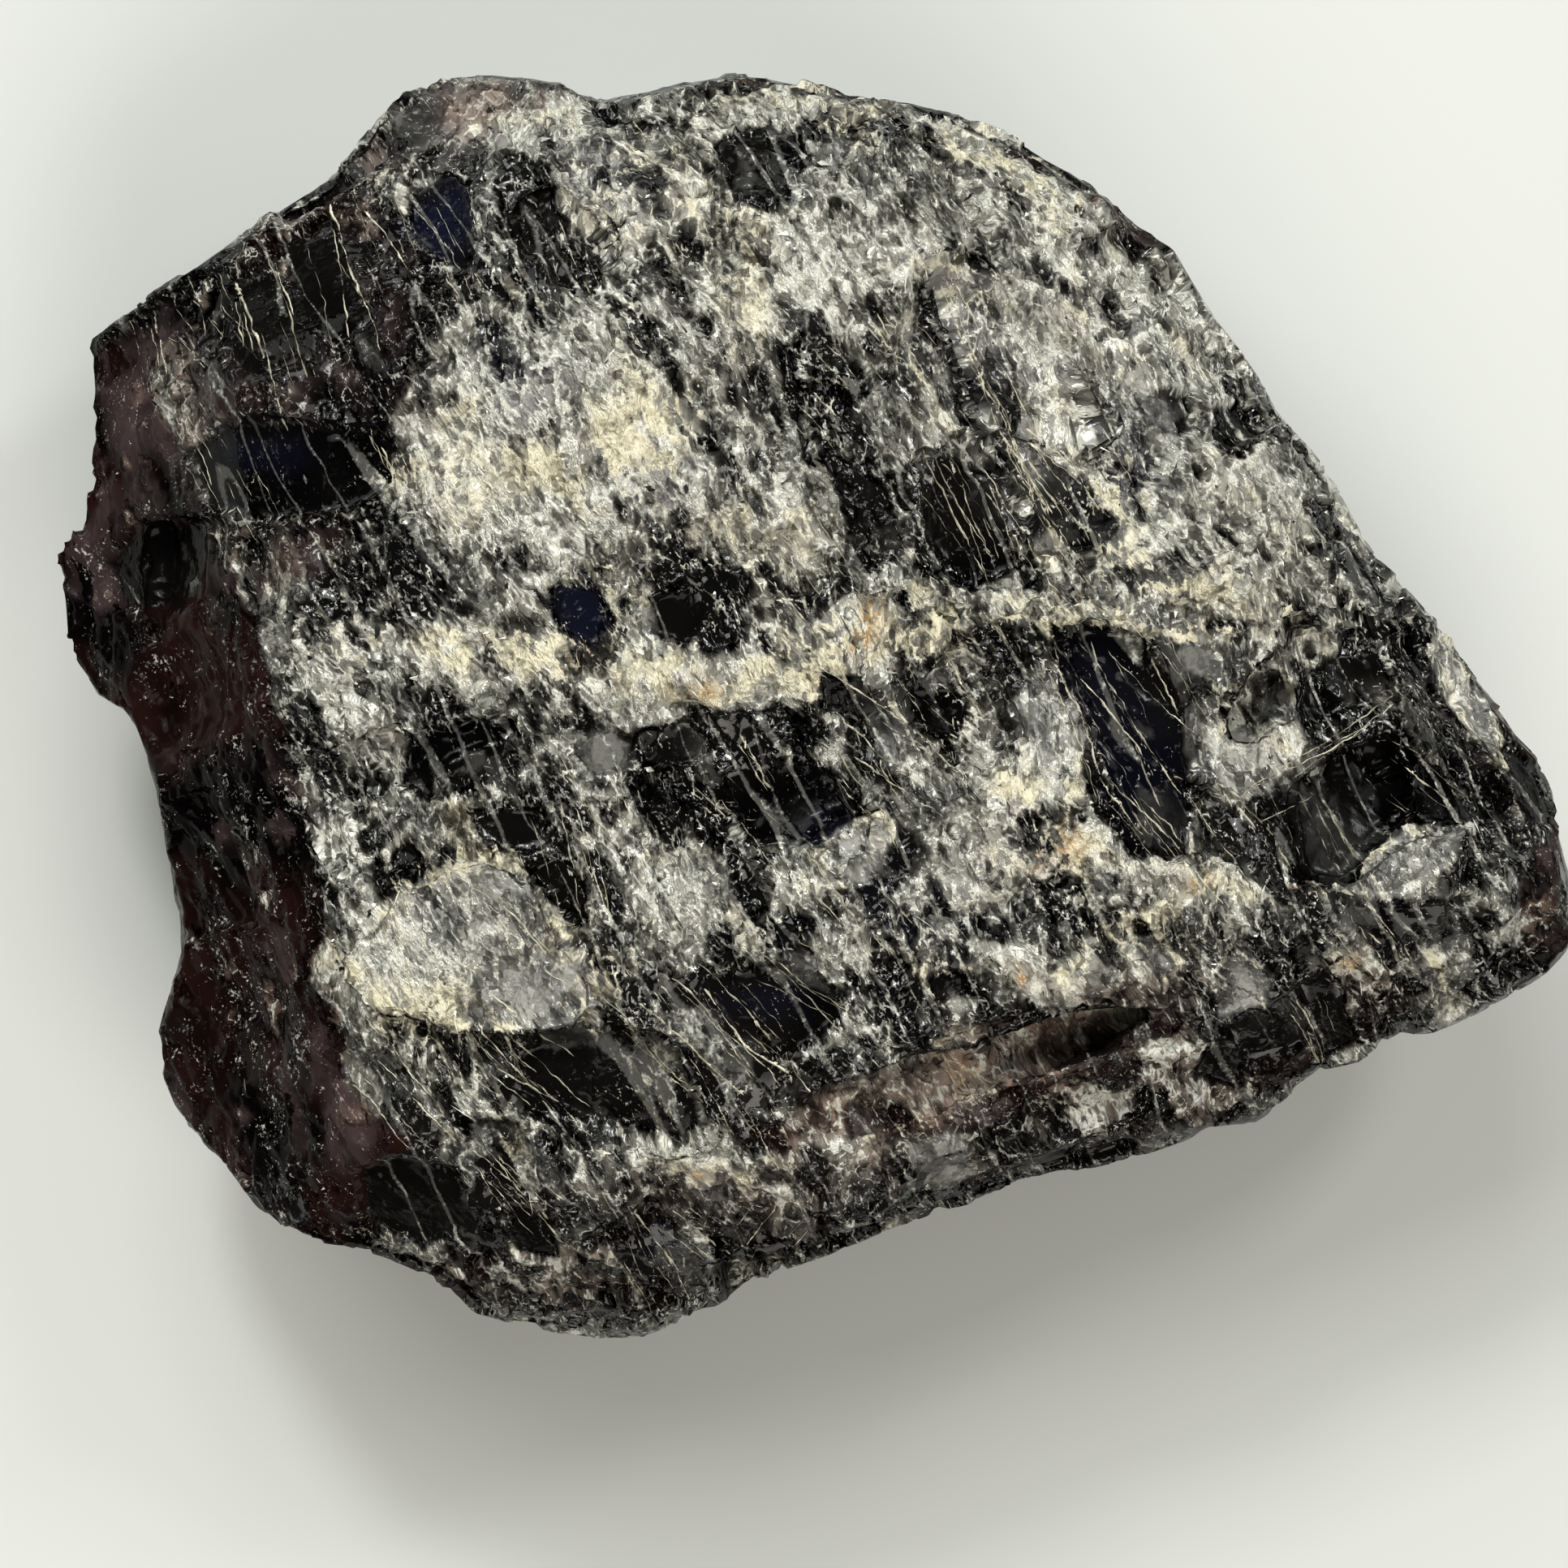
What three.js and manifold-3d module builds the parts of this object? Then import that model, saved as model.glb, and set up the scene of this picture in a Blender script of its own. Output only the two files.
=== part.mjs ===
// A rough iolite crystal: one broken, dark, blocky piece that lies on its flat parting face, broad face up.
// Millimetres, +Z up. The origin is on the resting face, under the middle of the piece, and +X runs along its
// length. Places on the broad face are pixels of a 1932 pixel square picture of it, x to the right and y down.
import * as THREE from "three";
import { mergeVertices } from "three/addons/utils/BufferGeometryUtils.js";
import Module from "manifold-3d";

// Driving dimensions of the real piece
const LENGTH = 57.4;
const RIM_ROUNDNESS = 5; // exponent of the side's profile: 2 is an ellipse, higher is squarer
const UNDERSIDE = -0.55; // how far the broken underside would bulge below the flat it rests on
const ROUGHNESS = { rise: 0.2, size: 3.4 }; // waves of every face
const RIM_BAND = 1.5; // the waves fade out this near to the rim, which keeps the outline
const RIM_BLEND = 2; // how far a stated rim height reaches before its neighbours count
const RIDGE_SOFTNESS = 0.35; // how far the edges between the faces are rounded

// The partings that the piece breaks along, as bearings over the broad face in degrees
const STEEP_PARTING = -62;
const FLAT_PARTING = 7;

// The outline of the broad face, clockwise from its left corner, in picture pixels
const OUTLINE = [
  [102, 422], [172, 374], [232, 339], [321, 275], [420, 210], [451, 172], [500, 121], [536, 103],
  [571, 94], [634, 95], [689, 103], [752, 126], [796, 117], [868, 98], [895, 92], [971, 100],
  [1029, 117], [1087, 123], [1216, 156], [1293, 203], [1354, 236], [1396, 276], [1443, 306], [1471, 357],
  [1508, 420], [1536, 450], [1564, 499], [1634, 583], [1690, 684], [1713, 699], [1760, 761], [1844, 869],
  [1900, 957], [1914, 995], [1916, 1037], [1940, 1108], [1940, 1140], [1922, 1180], [1891, 1205], [1798, 1254],
  [1746, 1273], [1711, 1275], [1685, 1299], [1608, 1320], [1559, 1369], [1503, 1385], [1438, 1410], [1377, 1426],
  [1247, 1451], [1203, 1473], [1136, 1498], [1037, 1538], [939, 1574], [912, 1594], [832, 1627], [747, 1646],
  [654, 1634], [580, 1612], [536, 1576], [469, 1547], [393, 1529], [339, 1504], [295, 1451], [241, 1404],
  [210, 1348], [193, 1286], [216, 1187], [214, 1112], [206, 1045], [201, 969], [156, 879], [107, 850],
  [96, 826], [60, 725], [62, 690], [84, 590], [82, 520], [86, 465],
];

// Height of the widest line round the side, at places along it
const RIM_HEIGHTS = [
  { near: [90, 560], height: 8.2 },
  { near: [205, 1100], height: 6.2 },
  { near: [350, 1510], height: 7.4 },
  { near: [800, 1640], height: 9.0 },
  { near: [1240, 1450], height: 8.2 },
  { near: [1700, 1285], height: 9.6 },
  { near: [1930, 1100], height: 10.2 },
  { near: [1650, 610], height: 9.4 },
  { near: [1300, 205], height: 7.4 },
  { near: [900, 95], height: 8.6 },
  { near: [500, 120], height: 7.0 },
];

// The faces of the upper side. Each passes height mm above the resting face at a place and falls away
// towards a bearing, in degrees from the picture's right, turning up, by a slope in degrees.
const UPPER_FACES = [
  { at: [850, 800], height: 18.1, bearing: 200, slope: 3.5 },
  { at: [850, 800], height: 18.1, bearing: 20, slope: 4.5 },
  { at: [850, 800], height: 18.1, bearing: 280, slope: 3 },
  { at: [560, 330], height: 16.9, bearing: 125, slope: 40 },
  { at: [650, 250], height: 16.6, bearing: 92, slope: 34 },
  { at: [250, 540], height: 16.0, bearing: 158, slope: 46 },
  { at: [340, 850], height: 16.6, bearing: 182, slope: 51 },
  { at: [430, 1280], height: 16.2, bearing: 194, slope: 49 },
  { at: [520, 1440], height: 15.8, bearing: 236, slope: 43 },
  { at: [800, 1520], height: 15.6, bearing: 274, slope: 44 },
  { at: [1200, 1330], height: 15.9, bearing: 290, slope: 26 },
  { at: [1650, 1190], height: 15.7, bearing: 296, slope: 40 },
  { at: [1790, 960], height: 15.9, bearing: 31, slope: 54 },
  { at: [1610, 690], height: 16.3, bearing: 37, slope: 46 },
  { at: [1320, 400], height: 16.5, bearing: 58, slope: 25 },
  { at: [1000, 240], height: 16.6, bearing: 84, slope: 30 },
  { at: [1820, 1110], height: 15.2, bearing: 345, slope: 30 },
];

const CROWN_FACES = 3; // the first of them, which make up the broad face itself

// The faces of the underside, written the same way: each rises away from the resting face
const LOWER_FACES = [
  { at: [420, 500], height: 0, bearing: 140, slope: 34 },
  { at: [380, 1050], height: 0, bearing: 186, slope: 41 },
  { at: [640, 1440], height: 0, bearing: 248, slope: 38 },
  { at: [1180, 1260], height: 0, bearing: 292, slope: 29 },
  { at: [1690, 1100], height: 0, bearing: 340, slope: 44 },
  { at: [1480, 640], height: 0, bearing: 35, slope: 36 },
  { at: [1130, 300], height: 0, bearing: 72, slope: 31 },
  { at: [700, 260], height: 0, bearing: 100, slope: 47 },
];

// Swellings and bowls of the broad face: reach along and across in pixels, turn in degrees, rise in mm
const SWELLINGS = [
  { at: [690, 560], reach: [190, 125], turn: 10, rise: 0.75 },
  { at: [590, 1150], reach: [140, 80], turn: -25, rise: 0.4 },
  { at: [1270, 500], reach: [140, 175], turn: -20, rise: -1.0 },
  { at: [1420, 610], reach: [50, 130], turn: 20, rise: 0.5 },
  { at: [1130, 1060], reach: [140, 85], turn: 20, rise: 0.5 },
  { at: [1000, 640], reach: [80, 130], turn: 25, rise: -0.45 },
  { at: [960, 950], reach: [160, 90], turn: 0, rise: -0.6 },
  { at: [450, 570], reach: [130, 80], turn: 0, rise: -0.45 },
  { at: [620, 190], reach: [120, 60], turn: 0, rise: 0.45 },
  { at: [1000, 170], reach: [160, 60], turn: -8, rise: 0.4 },
  { at: [850, 850], reach: [300, 34], turn: 2, rise: 0.55 },
  { at: [1330, 745], reach: [290, 32], turn: 9, rise: 0.5 },
  { at: [1500, 1105], reach: [180, 36], turn: -4, rise: 0.5 },
  { at: [820, 1450], reach: [200, 45], turn: 6, rise: 0.45 },
  { at: [1500, 690], reach: [110, 70], turn: -30, rise: 0.45 },
  { at: [1160, 1425], reach: [42, 42], turn: 0, rise: 0.9 },
  { at: [800, 170], reach: [30, 110], turn: 30, rise: -0.9 },
];

const SWELLING_FADE = 4; // a swelling is full this far above the rim

// Blocks that have broken out of the broad face, each leaving a flat floor and steep walls. sink is how far the
// floor lies under the face at the block's middle, tilt its fall to the right and upwards in degrees.
const BROKEN_BLOCKS = [
  {
    sink: 0.95,
    tilt: [-3, 3],
    corners: [
      [1478, 1010], [1500, 930], [1528, 868], [1560, 806], [1628, 790], [1704, 764], [1736, 850], [1770, 930],
      [1796, 1004], [1716, 1040], [1655, 1088], [1556, 1106],
    ],
  },
  {
    sink: 1.75,
    tilt: [5, 6],
    corners: [[1586, 960], [1640, 930], [1690, 918], [1724, 1000], [1682, 1044], [1640, 1082], [1600, 1076]],
  },
  {
    sink: 1.8,
    tilt: [-9, 0],
    corners: [[1502, 890], [1536, 826], [1570, 838], [1584, 862], [1560, 912], [1520, 918]],
  },
  {
    sink: 0.6,
    tilt: [3, -4],
    corners: [
      [618, 1280], [700, 1258], [806, 1262], [846, 1316], [884, 1392], [836, 1412], [756, 1402], [690, 1356],
    ],
  },
  {
    sink: 0.5,
    tilt: [-4, 2],
    corners: [
      [1284, 796], [1340, 774], [1400, 780], [1436, 860], [1472, 986], [1442, 1058], [1400, 1030], [1340, 918],
    ],
  },
  {
    sink: 0.5,
    tilt: [-5, -4],
    corners: [[1128, 570], [1188, 540], [1236, 596], [1290, 694], [1232, 738], [1160, 716], [1136, 640]],
  },
  {
    sink: 0.45,
    tilt: [-3, 5],
    corners: [
      [246, 548], [320, 520], [410, 528], [452, 560], [488, 610], [432, 660], [340, 650], [276, 626],
    ],
  },
  {
    sink: 0.55,
    tilt: [3, 4],
    corners: [[640, 262], [690, 240], [730, 280], [772, 352], [744, 396], [690, 356], [660, 310]],
  },
  {
    sink: 0.9,
    tilt: [6, 4],
    corners: [
      [906, 1398], [1010, 1330], [1090, 1300], [1190, 1284], [1300, 1240], [1432, 1232], [1350, 1290],
      [1180, 1346], [1060, 1388], [960, 1424],
    ],
  },
  {
    sink: 0.7,
    tilt: [2, -9],
    corners: [
      [1184, 1376], [1250, 1336], [1330, 1300], [1440, 1276], [1482, 1326], [1400, 1370], [1300, 1390],
      [1230, 1420],
    ],
  },
  {
    sink: 0.6,
    tilt: [9, 0],
    corners: [[1112, 866], [1176, 802], [1230, 840], [1256, 906], [1206, 952], [1140, 930]],
  },
];

// Thin plates that still stand on the broad face: stand is how far over it, tilt as above
const STANDING_PLATES = [
  {
    stand: 0.12,
    tilt: [0, 0],
    corners: [
      [506, 1092], [560, 1062], [612, 1052], [662, 1082], [702, 1152], [764, 1222], [706, 1262], [600, 1262],
      [482, 1240], [424, 1176],
    ],
  },
  {
    stand: 0.3,
    tilt: [-4, 3],
    corners: [[994, 1050], [1030, 1016], [1070, 996], [1098, 1020], [1084, 1072], [1040, 1092]],
  },
  {
    stand: 0.25,
    tilt: [3, 2],
    corners: [[1240, 870], [1282, 838], [1312, 872], [1330, 916], [1312, 980], [1262, 962]],
  },
  {
    stand: 0.2,
    tilt: [-4, -3],
    corners: [[1636, 1094], [1676, 1052], [1720, 1026], [1792, 1014], [1776, 1058], [1706, 1100]],
  },
];

// The small blocks that have come away all over the broad face, between the steep and the flat partings
const SMALL_BLOCKS = {
  count: 30,
  reach: 0.86,
  across: [2.4, 6.5],
  along: [3, 9],
  steepTurn: [-10, 10],
  flatTurn: [-26, 26],
  sink: [0.02, 0.34],
  tilt: [-5.5, 5.5],
};

// Flakes broken off the side, above and below the rim by turns: width is along the side, rise is from the rim
// to the flake's middle, and lean is how far its scar may turn from the face it was on, in degrees
const SIDE_FLAKES = {
  count: 34,
  spread: [-0.4, 0.4],
  width: [4, 10],
  tall: [2.6, 6.5],
  rise: [2.3, 6],
  depth: [0.25, 0.75],
  lean: [-13, 13],
};

// Sheets broken off the resting face
const UNDER_SHEETS = [
  { at: [560, 620], size: [17, 9], turn: 28, depth: 0.5, tilt: [2, 2] },
  { at: [1250, 420], size: [12, 8], turn: -40, depth: 0.45, tilt: [-2, 3] },
  { at: [700, 1300], size: [15, 6], turn: -12, depth: 0.5, tilt: [1, -3] },
  { at: [1420, 1080], size: [10, 9], turn: 20, depth: 0.4, tilt: [-3, -1] },
];

// Shells of glassy fracture: a ball of this radius has bitten so deep at a place, from that height and bearing
const SHELLS = [
  { at: [250, 830], height: 11.4, bearing: 195, lean: 42, radius: 5, depth: 0.9 },
  { at: [330, 745], height: 15.2, bearing: 160, lean: 62, radius: 3.4, depth: 0.5 },
  { at: [1800, 855], height: 12.6, bearing: 32, lean: 38, radius: 8, depth: 0.8 },
  { at: [1520, 940], height: 16.4, bearing: 120, lean: 70, radius: 3, depth: 0.7 },
  { at: [300, 1250], height: 11.5, bearing: 190, lean: 40, radius: 9, depth: 0.8 },
  { at: [560, 180], height: 13.4, bearing: 110, lean: 40, radius: 8, depth: 0.7 },
  { at: [1180, 1425], height: 12.2, bearing: 285, lean: 36, radius: 6, depth: 0.7 },
  { at: [1440, 420], height: 12.8, bearing: 46, lean: 38, radius: 9, depth: 0.8 },
  { at: [130, 560], height: 4.2, bearing: 170, lean: -30, radius: 10, depth: 1.1 },
  { at: [760, 1610], height: 4.4, bearing: 268, lean: -34, radius: 9, depth: 1.0 },
  { at: [1620, 1300], height: 4.8, bearing: 296, lean: -30, radius: 11, depth: 1.0 },
  { at: [1780, 810], height: 4.6, bearing: 38, lean: -34, radius: 10, depth: 1.1 },
  { at: [1010, 140], height: 4.2, bearing: 84, lean: -30, radius: 9, depth: 1.0 },
];

const SLOPE_REACH = 2.5; // the skin's slope under a block is taken between points this far from its middle
const CUT_HEIGHT = 8; // a broken block reaches this far up from its floor
const PLATE_ROOT = 3; // a standing plate goes this far down into the piece

// How finely the skin is divided
const RINGS = 18; // rings of the broad face, the outermost with 6 * RINGS points
const FACE_SHARE = 0.93; // how far out the broad face's rings reach
const SIDE_ROWS = 8; // rows of the side, from the broad face's last ring to the underside's first
const BALL_DETAIL = 4; // how often a ball's faces are halved along each edge
const LOWER_RINGS = [0.88, 0.8, 0.66, 0.4];

// The frame of the picture, in millimetres from the middle of the outline
const columns = OUTLINE.map(([x]) => x);
const rows = OUTLINE.map(([, y]) => y);
const MM_PER_PIXEL = LENGTH / (Math.max(...columns) - Math.min(...columns));
const MIDDLE = [
  (Math.max(...columns) + Math.min(...columns)) / 2,
  (Math.max(...rows) + Math.min(...rows)) / 2,
];

function place([column, row]) {
  return new THREE.Vector2((column - MIDDLE[0]) * MM_PER_PIXEL, (MIDDLE[1] - row) * MM_PER_PIXEL);
}

function heading(degrees) {
  const angle = THREE.MathUtils.degToRad(degrees);
  return new THREE.Vector2(Math.cos(angle), Math.sin(angle));
}

// Smooth noise from -1 to 1, the same on every run
function corner(i, j, k) {
  let h = Math.imul(i, 374761393) ^ Math.imul(j, 668265263) ^ Math.imul(k, 2147483647 - 1274126177);
  h = Math.imul(h ^ (h >>> 13), 1274126177);
  h ^= h >>> 16;
  return (h >>> 0) / 2147483648 - 1;
}

function noise(x, y, z) {
  const [i, j, k] = [x, y, z].map(Math.floor);
  const [u, v, w] = [x - i, y - j, z - k].map((t) => t * t * (3 - 2 * t));
  let sum = 0;
  for (const a of [0, 1])
    for (const b of [0, 1])
      for (const c of [0, 1])
        sum += corner(i + a, j + b, k + c) * (a ? u : 1 - u) * (b ? v : 1 - v) * (c ? w : 1 - w);
  return sum;
}

// The lower or upper of two heights, with the edge between them rounded
function softMin(a, b) {
  const near = Math.max(RIDGE_SOFTNESS - Math.abs(a - b), 0) / RIDGE_SOFTNESS;
  return Math.min(a, b) - (near * near * RIDGE_SOFTNESS) / 4;
}

function softMax(a, b) {
  return -softMin(-a, -b);
}

// How far a face has fallen from its stated height at p
function fall(face, p) {
  const out = p.clone().sub(place(face.at)).dot(heading(face.bearing));
  return out * Math.tan(THREE.MathUtils.degToRad(face.slope));
}

function swelling({ at, reach, turn, rise }, p) {
  const d = p.clone().sub(place(at)).rotateAround(new THREE.Vector2(), THREE.MathUtils.degToRad(-turn));
  const [a, b] = reach.map((pixels) => pixels * MM_PER_PIXEL);
  return rise * Math.exp(-((d.x / a) ** 2) - (d.y / b) ** 2);
}

function lowest(faces, p) {
  return faces.map((face) => face.height - fall(face, p)).reduce(softMin);
}

function lowerHeight(p) {
  return LOWER_FACES.map((face) => face.height + fall(face, p)).reduce(softMax, UNDERSIDE);
}

// The rim's height at p, from the stated heights, the nearer ones counting more
function rimHeight(p) {
  let total = 0;
  let weights = 0;
  for (const { near, height } of RIM_HEIGHTS) {
    const weight = 1 / (place(near).distanceToSquared(p) + RIM_BLEND ** 2);
    total += weight * height;
    weights += weight;
  }
  return total / weights;
}

// A point of the unbroken skin: out is its share of the way from the middle to the outline, side is 1 above
// the rim and -1 below it.
function skinPoint(edge, out, side) {
  const p = edge.clone().multiplyScalar(out);
  const rim = rimHeight(edge);
  const along = Math.max(1 - out ** RIM_ROUNDNESS, 0) ** (1 / RIM_ROUNDNESS);
  if (side < 0) return new THREE.Vector3(p.x, p.y, rim + (Math.min(lowerHeight(p), rim) - rim) * along);
  const square = rim + (lowest(UPPER_FACES.slice(0, CROWN_FACES), p) - rim) * along;
  const height = Math.max(softMin(square, lowest(UPPER_FACES, p)), rim);
  const rise = SWELLINGS.reduce((sum, s) => sum + swelling(s, p), 0);
  return new THREE.Vector3(p.x, p.y, height + rise * Math.min((height - rim) / SWELLING_FADE, 1));
}

// The outline as a closed curve, and the rings of points that the skin is made of, from top to bottom
const outlineCurve = new THREE.CatmullRomCurve3(
  OUTLINE.map((pixel) => place(pixel)).map((p) => new THREE.Vector3(p.x, p.y, 0)),
  true,
  "centripetal",
);

function ring(count, out, side) {
  const edges = outlineCurve.getSpacedPoints(count).slice(0, count);
  return edges.map((e) => skinPoint(new THREE.Vector2(e.x, e.y), out, side));
}

function skinRings() {
  const around = 6 * RINGS;
  const rings = [[skinPoint(new THREE.Vector2(), 0, 1)]];
  for (let k = 1; k <= RINGS; k++) rings.push(ring(6 * k, (FACE_SHARE * k) / RINGS, 1));
  // Equal steps of height down the side, by the profile's own formula
  const topAlong = (1 - FACE_SHARE ** RIM_ROUNDNESS) ** (1 / RIM_ROUNDNESS);
  for (let row = 1; row <= SIDE_ROWS; row++) {
    const along = topAlong * (1 - (2 * row) / SIDE_ROWS);
    const out = (1 - Math.abs(along) ** RIM_ROUNDNESS) ** (1 / RIM_ROUNDNESS);
    rings.push(ring(around, out, along >= 0 ? 1 : -1));
  }
  for (const out of LOWER_RINGS) rings.push(ring(Math.round((around * out) / 12) * 12, out, -1));
  rings.push([skinPoint(new THREE.Vector2(), 0, -1)]);
  return rings;
}

// Triangles between two rings that may hold different counts of points, both starting at the same bearing
function stitch(upper, lower, upperStart, lowerStart, index) {
  let [i, j] = [0, 0];
  while (i < upper || j < lower) {
    const a = upperStart + (i % upper);
    const b = lowerStart + (j % lower);
    const takeLower = i === upper || (j < lower && (j + 1) / lower <= (i + 1) / upper);
    if (takeLower && lower > 1) index.push(b, a, lowerStart + ((j + 1) % lower));
    if (!takeLower && upper > 1) index.push(b, a, upperStart + ((i + 1) % upper));
    if (takeLower) j++;
    else i++;
  }
}

function skinGeometry() {
  const rings = skinRings();
  const index = [];
  let start = 0;
  for (let k = 1; k < rings.length; k++) {
    stitch(rings[k - 1].length, rings[k].length, start, start + rings[k - 1].length, index);
    start += rings[k - 1].length;
  }
  const geometry = new THREE.BufferGeometry().setFromPoints(rings.flat()).setIndex(index);
  geometry.computeVertexNormals();
  return geometry;
}

// Moves each point of the skin along its normal, so that no face is quite flat
function roughen(geometry) {
  const positions = geometry.getAttribute("position");
  const normals = geometry.getAttribute("normal");
  const p = new THREE.Vector3();
  const n = new THREE.Vector3();
  for (let i = 0; i < positions.count; i++) {
    p.fromBufferAttribute(positions, i);
    n.fromBufferAttribute(normals, i);
    const wave = p.clone().divideScalar(ROUGHNESS.size);
    const fade = Math.min(Math.abs(p.z - rimHeight(new THREE.Vector2(p.x, p.y))) / RIM_BAND, 1);
    p.addScaledVector(n, ROUGHNESS.rise * fade * noise(wave.x, wave.y, wave.z));
    positions.setXYZ(i, p.x, p.y, p.z);
  }
  return geometry;
}

const wasm = await Module();
wasm.setup();

function solidOf(geometry) {
  const bare = new THREE.BufferGeometry().setAttribute("position", geometry.getAttribute("position").clone());
  bare.setIndex(geometry.index);
  const merged = mergeVertices(bare, 1e-4);
  return new wasm.Manifold(
    new wasm.Mesh({
      numProp: 3,
      vertProperties: merged.attributes.position.array,
      triVerts: new Uint32Array(merged.index.array),
    }),
  );
}

function geometryOf(solid) {
  const { vertProperties, triVerts } = solid.getMesh();
  const geometry = new THREE.BufferGeometry();
  geometry.setAttribute("position", new THREE.BufferAttribute(vertProperties, 3));
  return geometry.setIndex(new THREE.BufferAttribute(triVerts, 1));
}

function skinHeight(p, skin) {
  const origin = new THREE.Vector3(p.x, p.y, LENGTH);
  const [hit] = new THREE.Raycaster(origin, new THREE.Vector3(0, 0, -1)).intersectObject(skin);
  return hit.point.z;
}

// An upright prism over a polygon, whose base passes below the skin by sink at its middle. It is leaned
// with the skin there, and by tilt in degrees.
function prism(points, skin, sink, height, tilt) {
  const middle = points.reduce((sum, p) => sum.add(p), new THREE.Vector2()).divideScalar(points.length);
  const shape = new THREE.Shape(points.map((p) => p.clone().sub(middle)));
  const geometry = new THREE.ExtrudeGeometry(shape, { depth: height, bevelEnabled: false });
  const [right, up] = ["x", "y"].map((axis, which) => {
    const [before, after] = [-SLOPE_REACH, SLOPE_REACH].map((d) => {
      const p = middle.clone();
      p[axis] += d;
      return skinHeight(p, skin);
    });
    return THREE.MathUtils.degToRad(tilt[which]) - Math.atan((after - before) / (2 * SLOPE_REACH));
  });
  geometry.applyMatrix4(new THREE.Matrix4().makeRotationFromEuler(new THREE.Euler(-up, right, 0)));
  geometry.translate(middle.x, middle.y, skinHeight(middle, skin) - sink);
  return solidOf(geometry);
}

function brokenBlock({ corners, sink, tilt }, skin) {
  return prism(corners.map(place), skin, sink, CUT_HEIGHT, tilt);
}

function standingPlate({ corners, stand, tilt }, skin) {
  return prism(corners.map(place), skin, PLATE_ROOT, PLATE_ROOT + stand, tilt);
}

// A number between two limits that depends only on the item and on what it is for
function pick([low, high], item, purpose) {
  const key = [...purpose].reduce((sum, letter) => (31 * sum + letter.charCodeAt(0)) | 0, 0);
  return low + ((high - low) * (corner(item, key, 0) + 1)) / 2;
}

// The small blocks are spread evenly by the golden angle
function smallBlock(item, skin) {
  const { count, reach, across, along, steepTurn, flatTurn, sink, tilt } = SMALL_BLOCKS;
  const goldenShare = (3 - Math.sqrt(5)) / 2;
  const edge = outlineCurve.getPointAt((item * goldenShare) % 1);
  const middle = new THREE.Vector2(edge.x, edge.y).multiplyScalar(reach * Math.sqrt((item + 0.5) / count));
  const side = heading(STEEP_PARTING + pick(steepTurn, item, "side's turn"));
  side.multiplyScalar(pick(along, item, "length") / 2);
  const end = heading(FLAT_PARTING + pick(flatTurn, item, "end's turn"));
  end.multiplyScalar(pick(across, item, "width") / 2);
  const corners = [[-1, -1], [1, -1], [1, 1], [-1, 1]].map(([a, b]) =>
    middle.clone().addScaledVector(end, a).addScaledVector(side, b),
  );
  const leans = ["fall to the right", "fall upwards"].map((purpose) => pick(tilt, item, purpose));
  return prism(corners, skin, pick(sink, item, "depth"), CUT_HEIGHT, leans);
}

// A flat-faced block set on the skin, to take away what it overlaps
function sideFlake(item, skin) {
  const { count, spread, width, tall, rise, depth, lean } = SIDE_FLAKES;
  const share = (item + pick(spread, item, "place") + count) / count;
  const edge = outlineCurve.getPointAt(share % 1);
  const run = outlineCurve.getTangentAt(share % 1);
  const out = new THREE.Vector3(-run.y, run.x, 0);
  const above = item % 2 === 0 ? 1 : -1;
  const level = rimHeight(new THREE.Vector2(edge.x, edge.y)) + above * pick(rise, item, "rise");
  const origin = new THREE.Vector3(edge.x, edge.y, level).addScaledVector(out, CUT_HEIGHT);
  const [{ point, face }] = new THREE.Raycaster(origin, out.negate()).intersectObject(skin);
  const [long, wide] = [pick(width, item, "width"), pick(tall, item, "height")];
  const geometry = new THREE.BoxGeometry(long, wide, CUT_HEIGHT);
  geometry.translate(0, 0, CUT_HEIGHT / 2 - pick(depth, item, "depth"));
  const turns = ["lean", "swing", "turn"]
    .map((purpose) => pick(lean, item, purpose))
    .map(THREE.MathUtils.degToRad);
  geometry.applyMatrix4(new THREE.Matrix4().makeRotationFromEuler(new THREE.Euler(...turns)));
  const across = run.clone().addScaledVector(face.normal, -run.dot(face.normal)).normalize();
  const up = face.normal.clone().cross(across);
  geometry.applyMatrix4(new THREE.Matrix4().makeBasis(across, up, face.normal).setPosition(point));
  return solidOf(geometry);
}

function underSheet({ at, size: [long, wide], turn, depth, tilt }) {
  const geometry = new THREE.BoxGeometry(long, wide, CUT_HEIGHT).translate(0, 0, -CUT_HEIGHT / 2);
  const [right, up] = tilt.map(THREE.MathUtils.degToRad);
  geometry.applyMatrix4(new THREE.Matrix4().makeRotationFromEuler(new THREE.Euler(up, right, 0)));
  geometry.rotateZ(THREE.MathUtils.degToRad(turn));
  const p = place(at);
  return solidOf(geometry.translate(p.x, p.y, depth));
}

function ball(centre, radius) {
  return solidOf(new THREE.IcosahedronGeometry(radius, BALL_DETAIL).translate(centre.x, centre.y, centre.z));
}

function shell({ at, height, bearing, lean, radius, depth }, skin) {
  const level = THREE.MathUtils.degToRad(lean);
  const flat = heading(bearing).multiplyScalar(Math.cos(level));
  const out = new THREE.Vector3(flat.x, flat.y, Math.sin(level));
  const p = place(at);
  const origin = new THREE.Vector3(p.x, p.y, height).addScaledVector(out, LENGTH);
  const [hit] = new THREE.Raycaster(origin, out.clone().negate()).intersectObject(skin);
  return ball(hit.point.addScaledVector(out, radius - depth), radius);
}

function belowTheFloor() {
  const size = 2 * LENGTH;
  return solidOf(new THREE.BoxGeometry(size, size, size).translate(0, 0, -size / 2));
}

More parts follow.
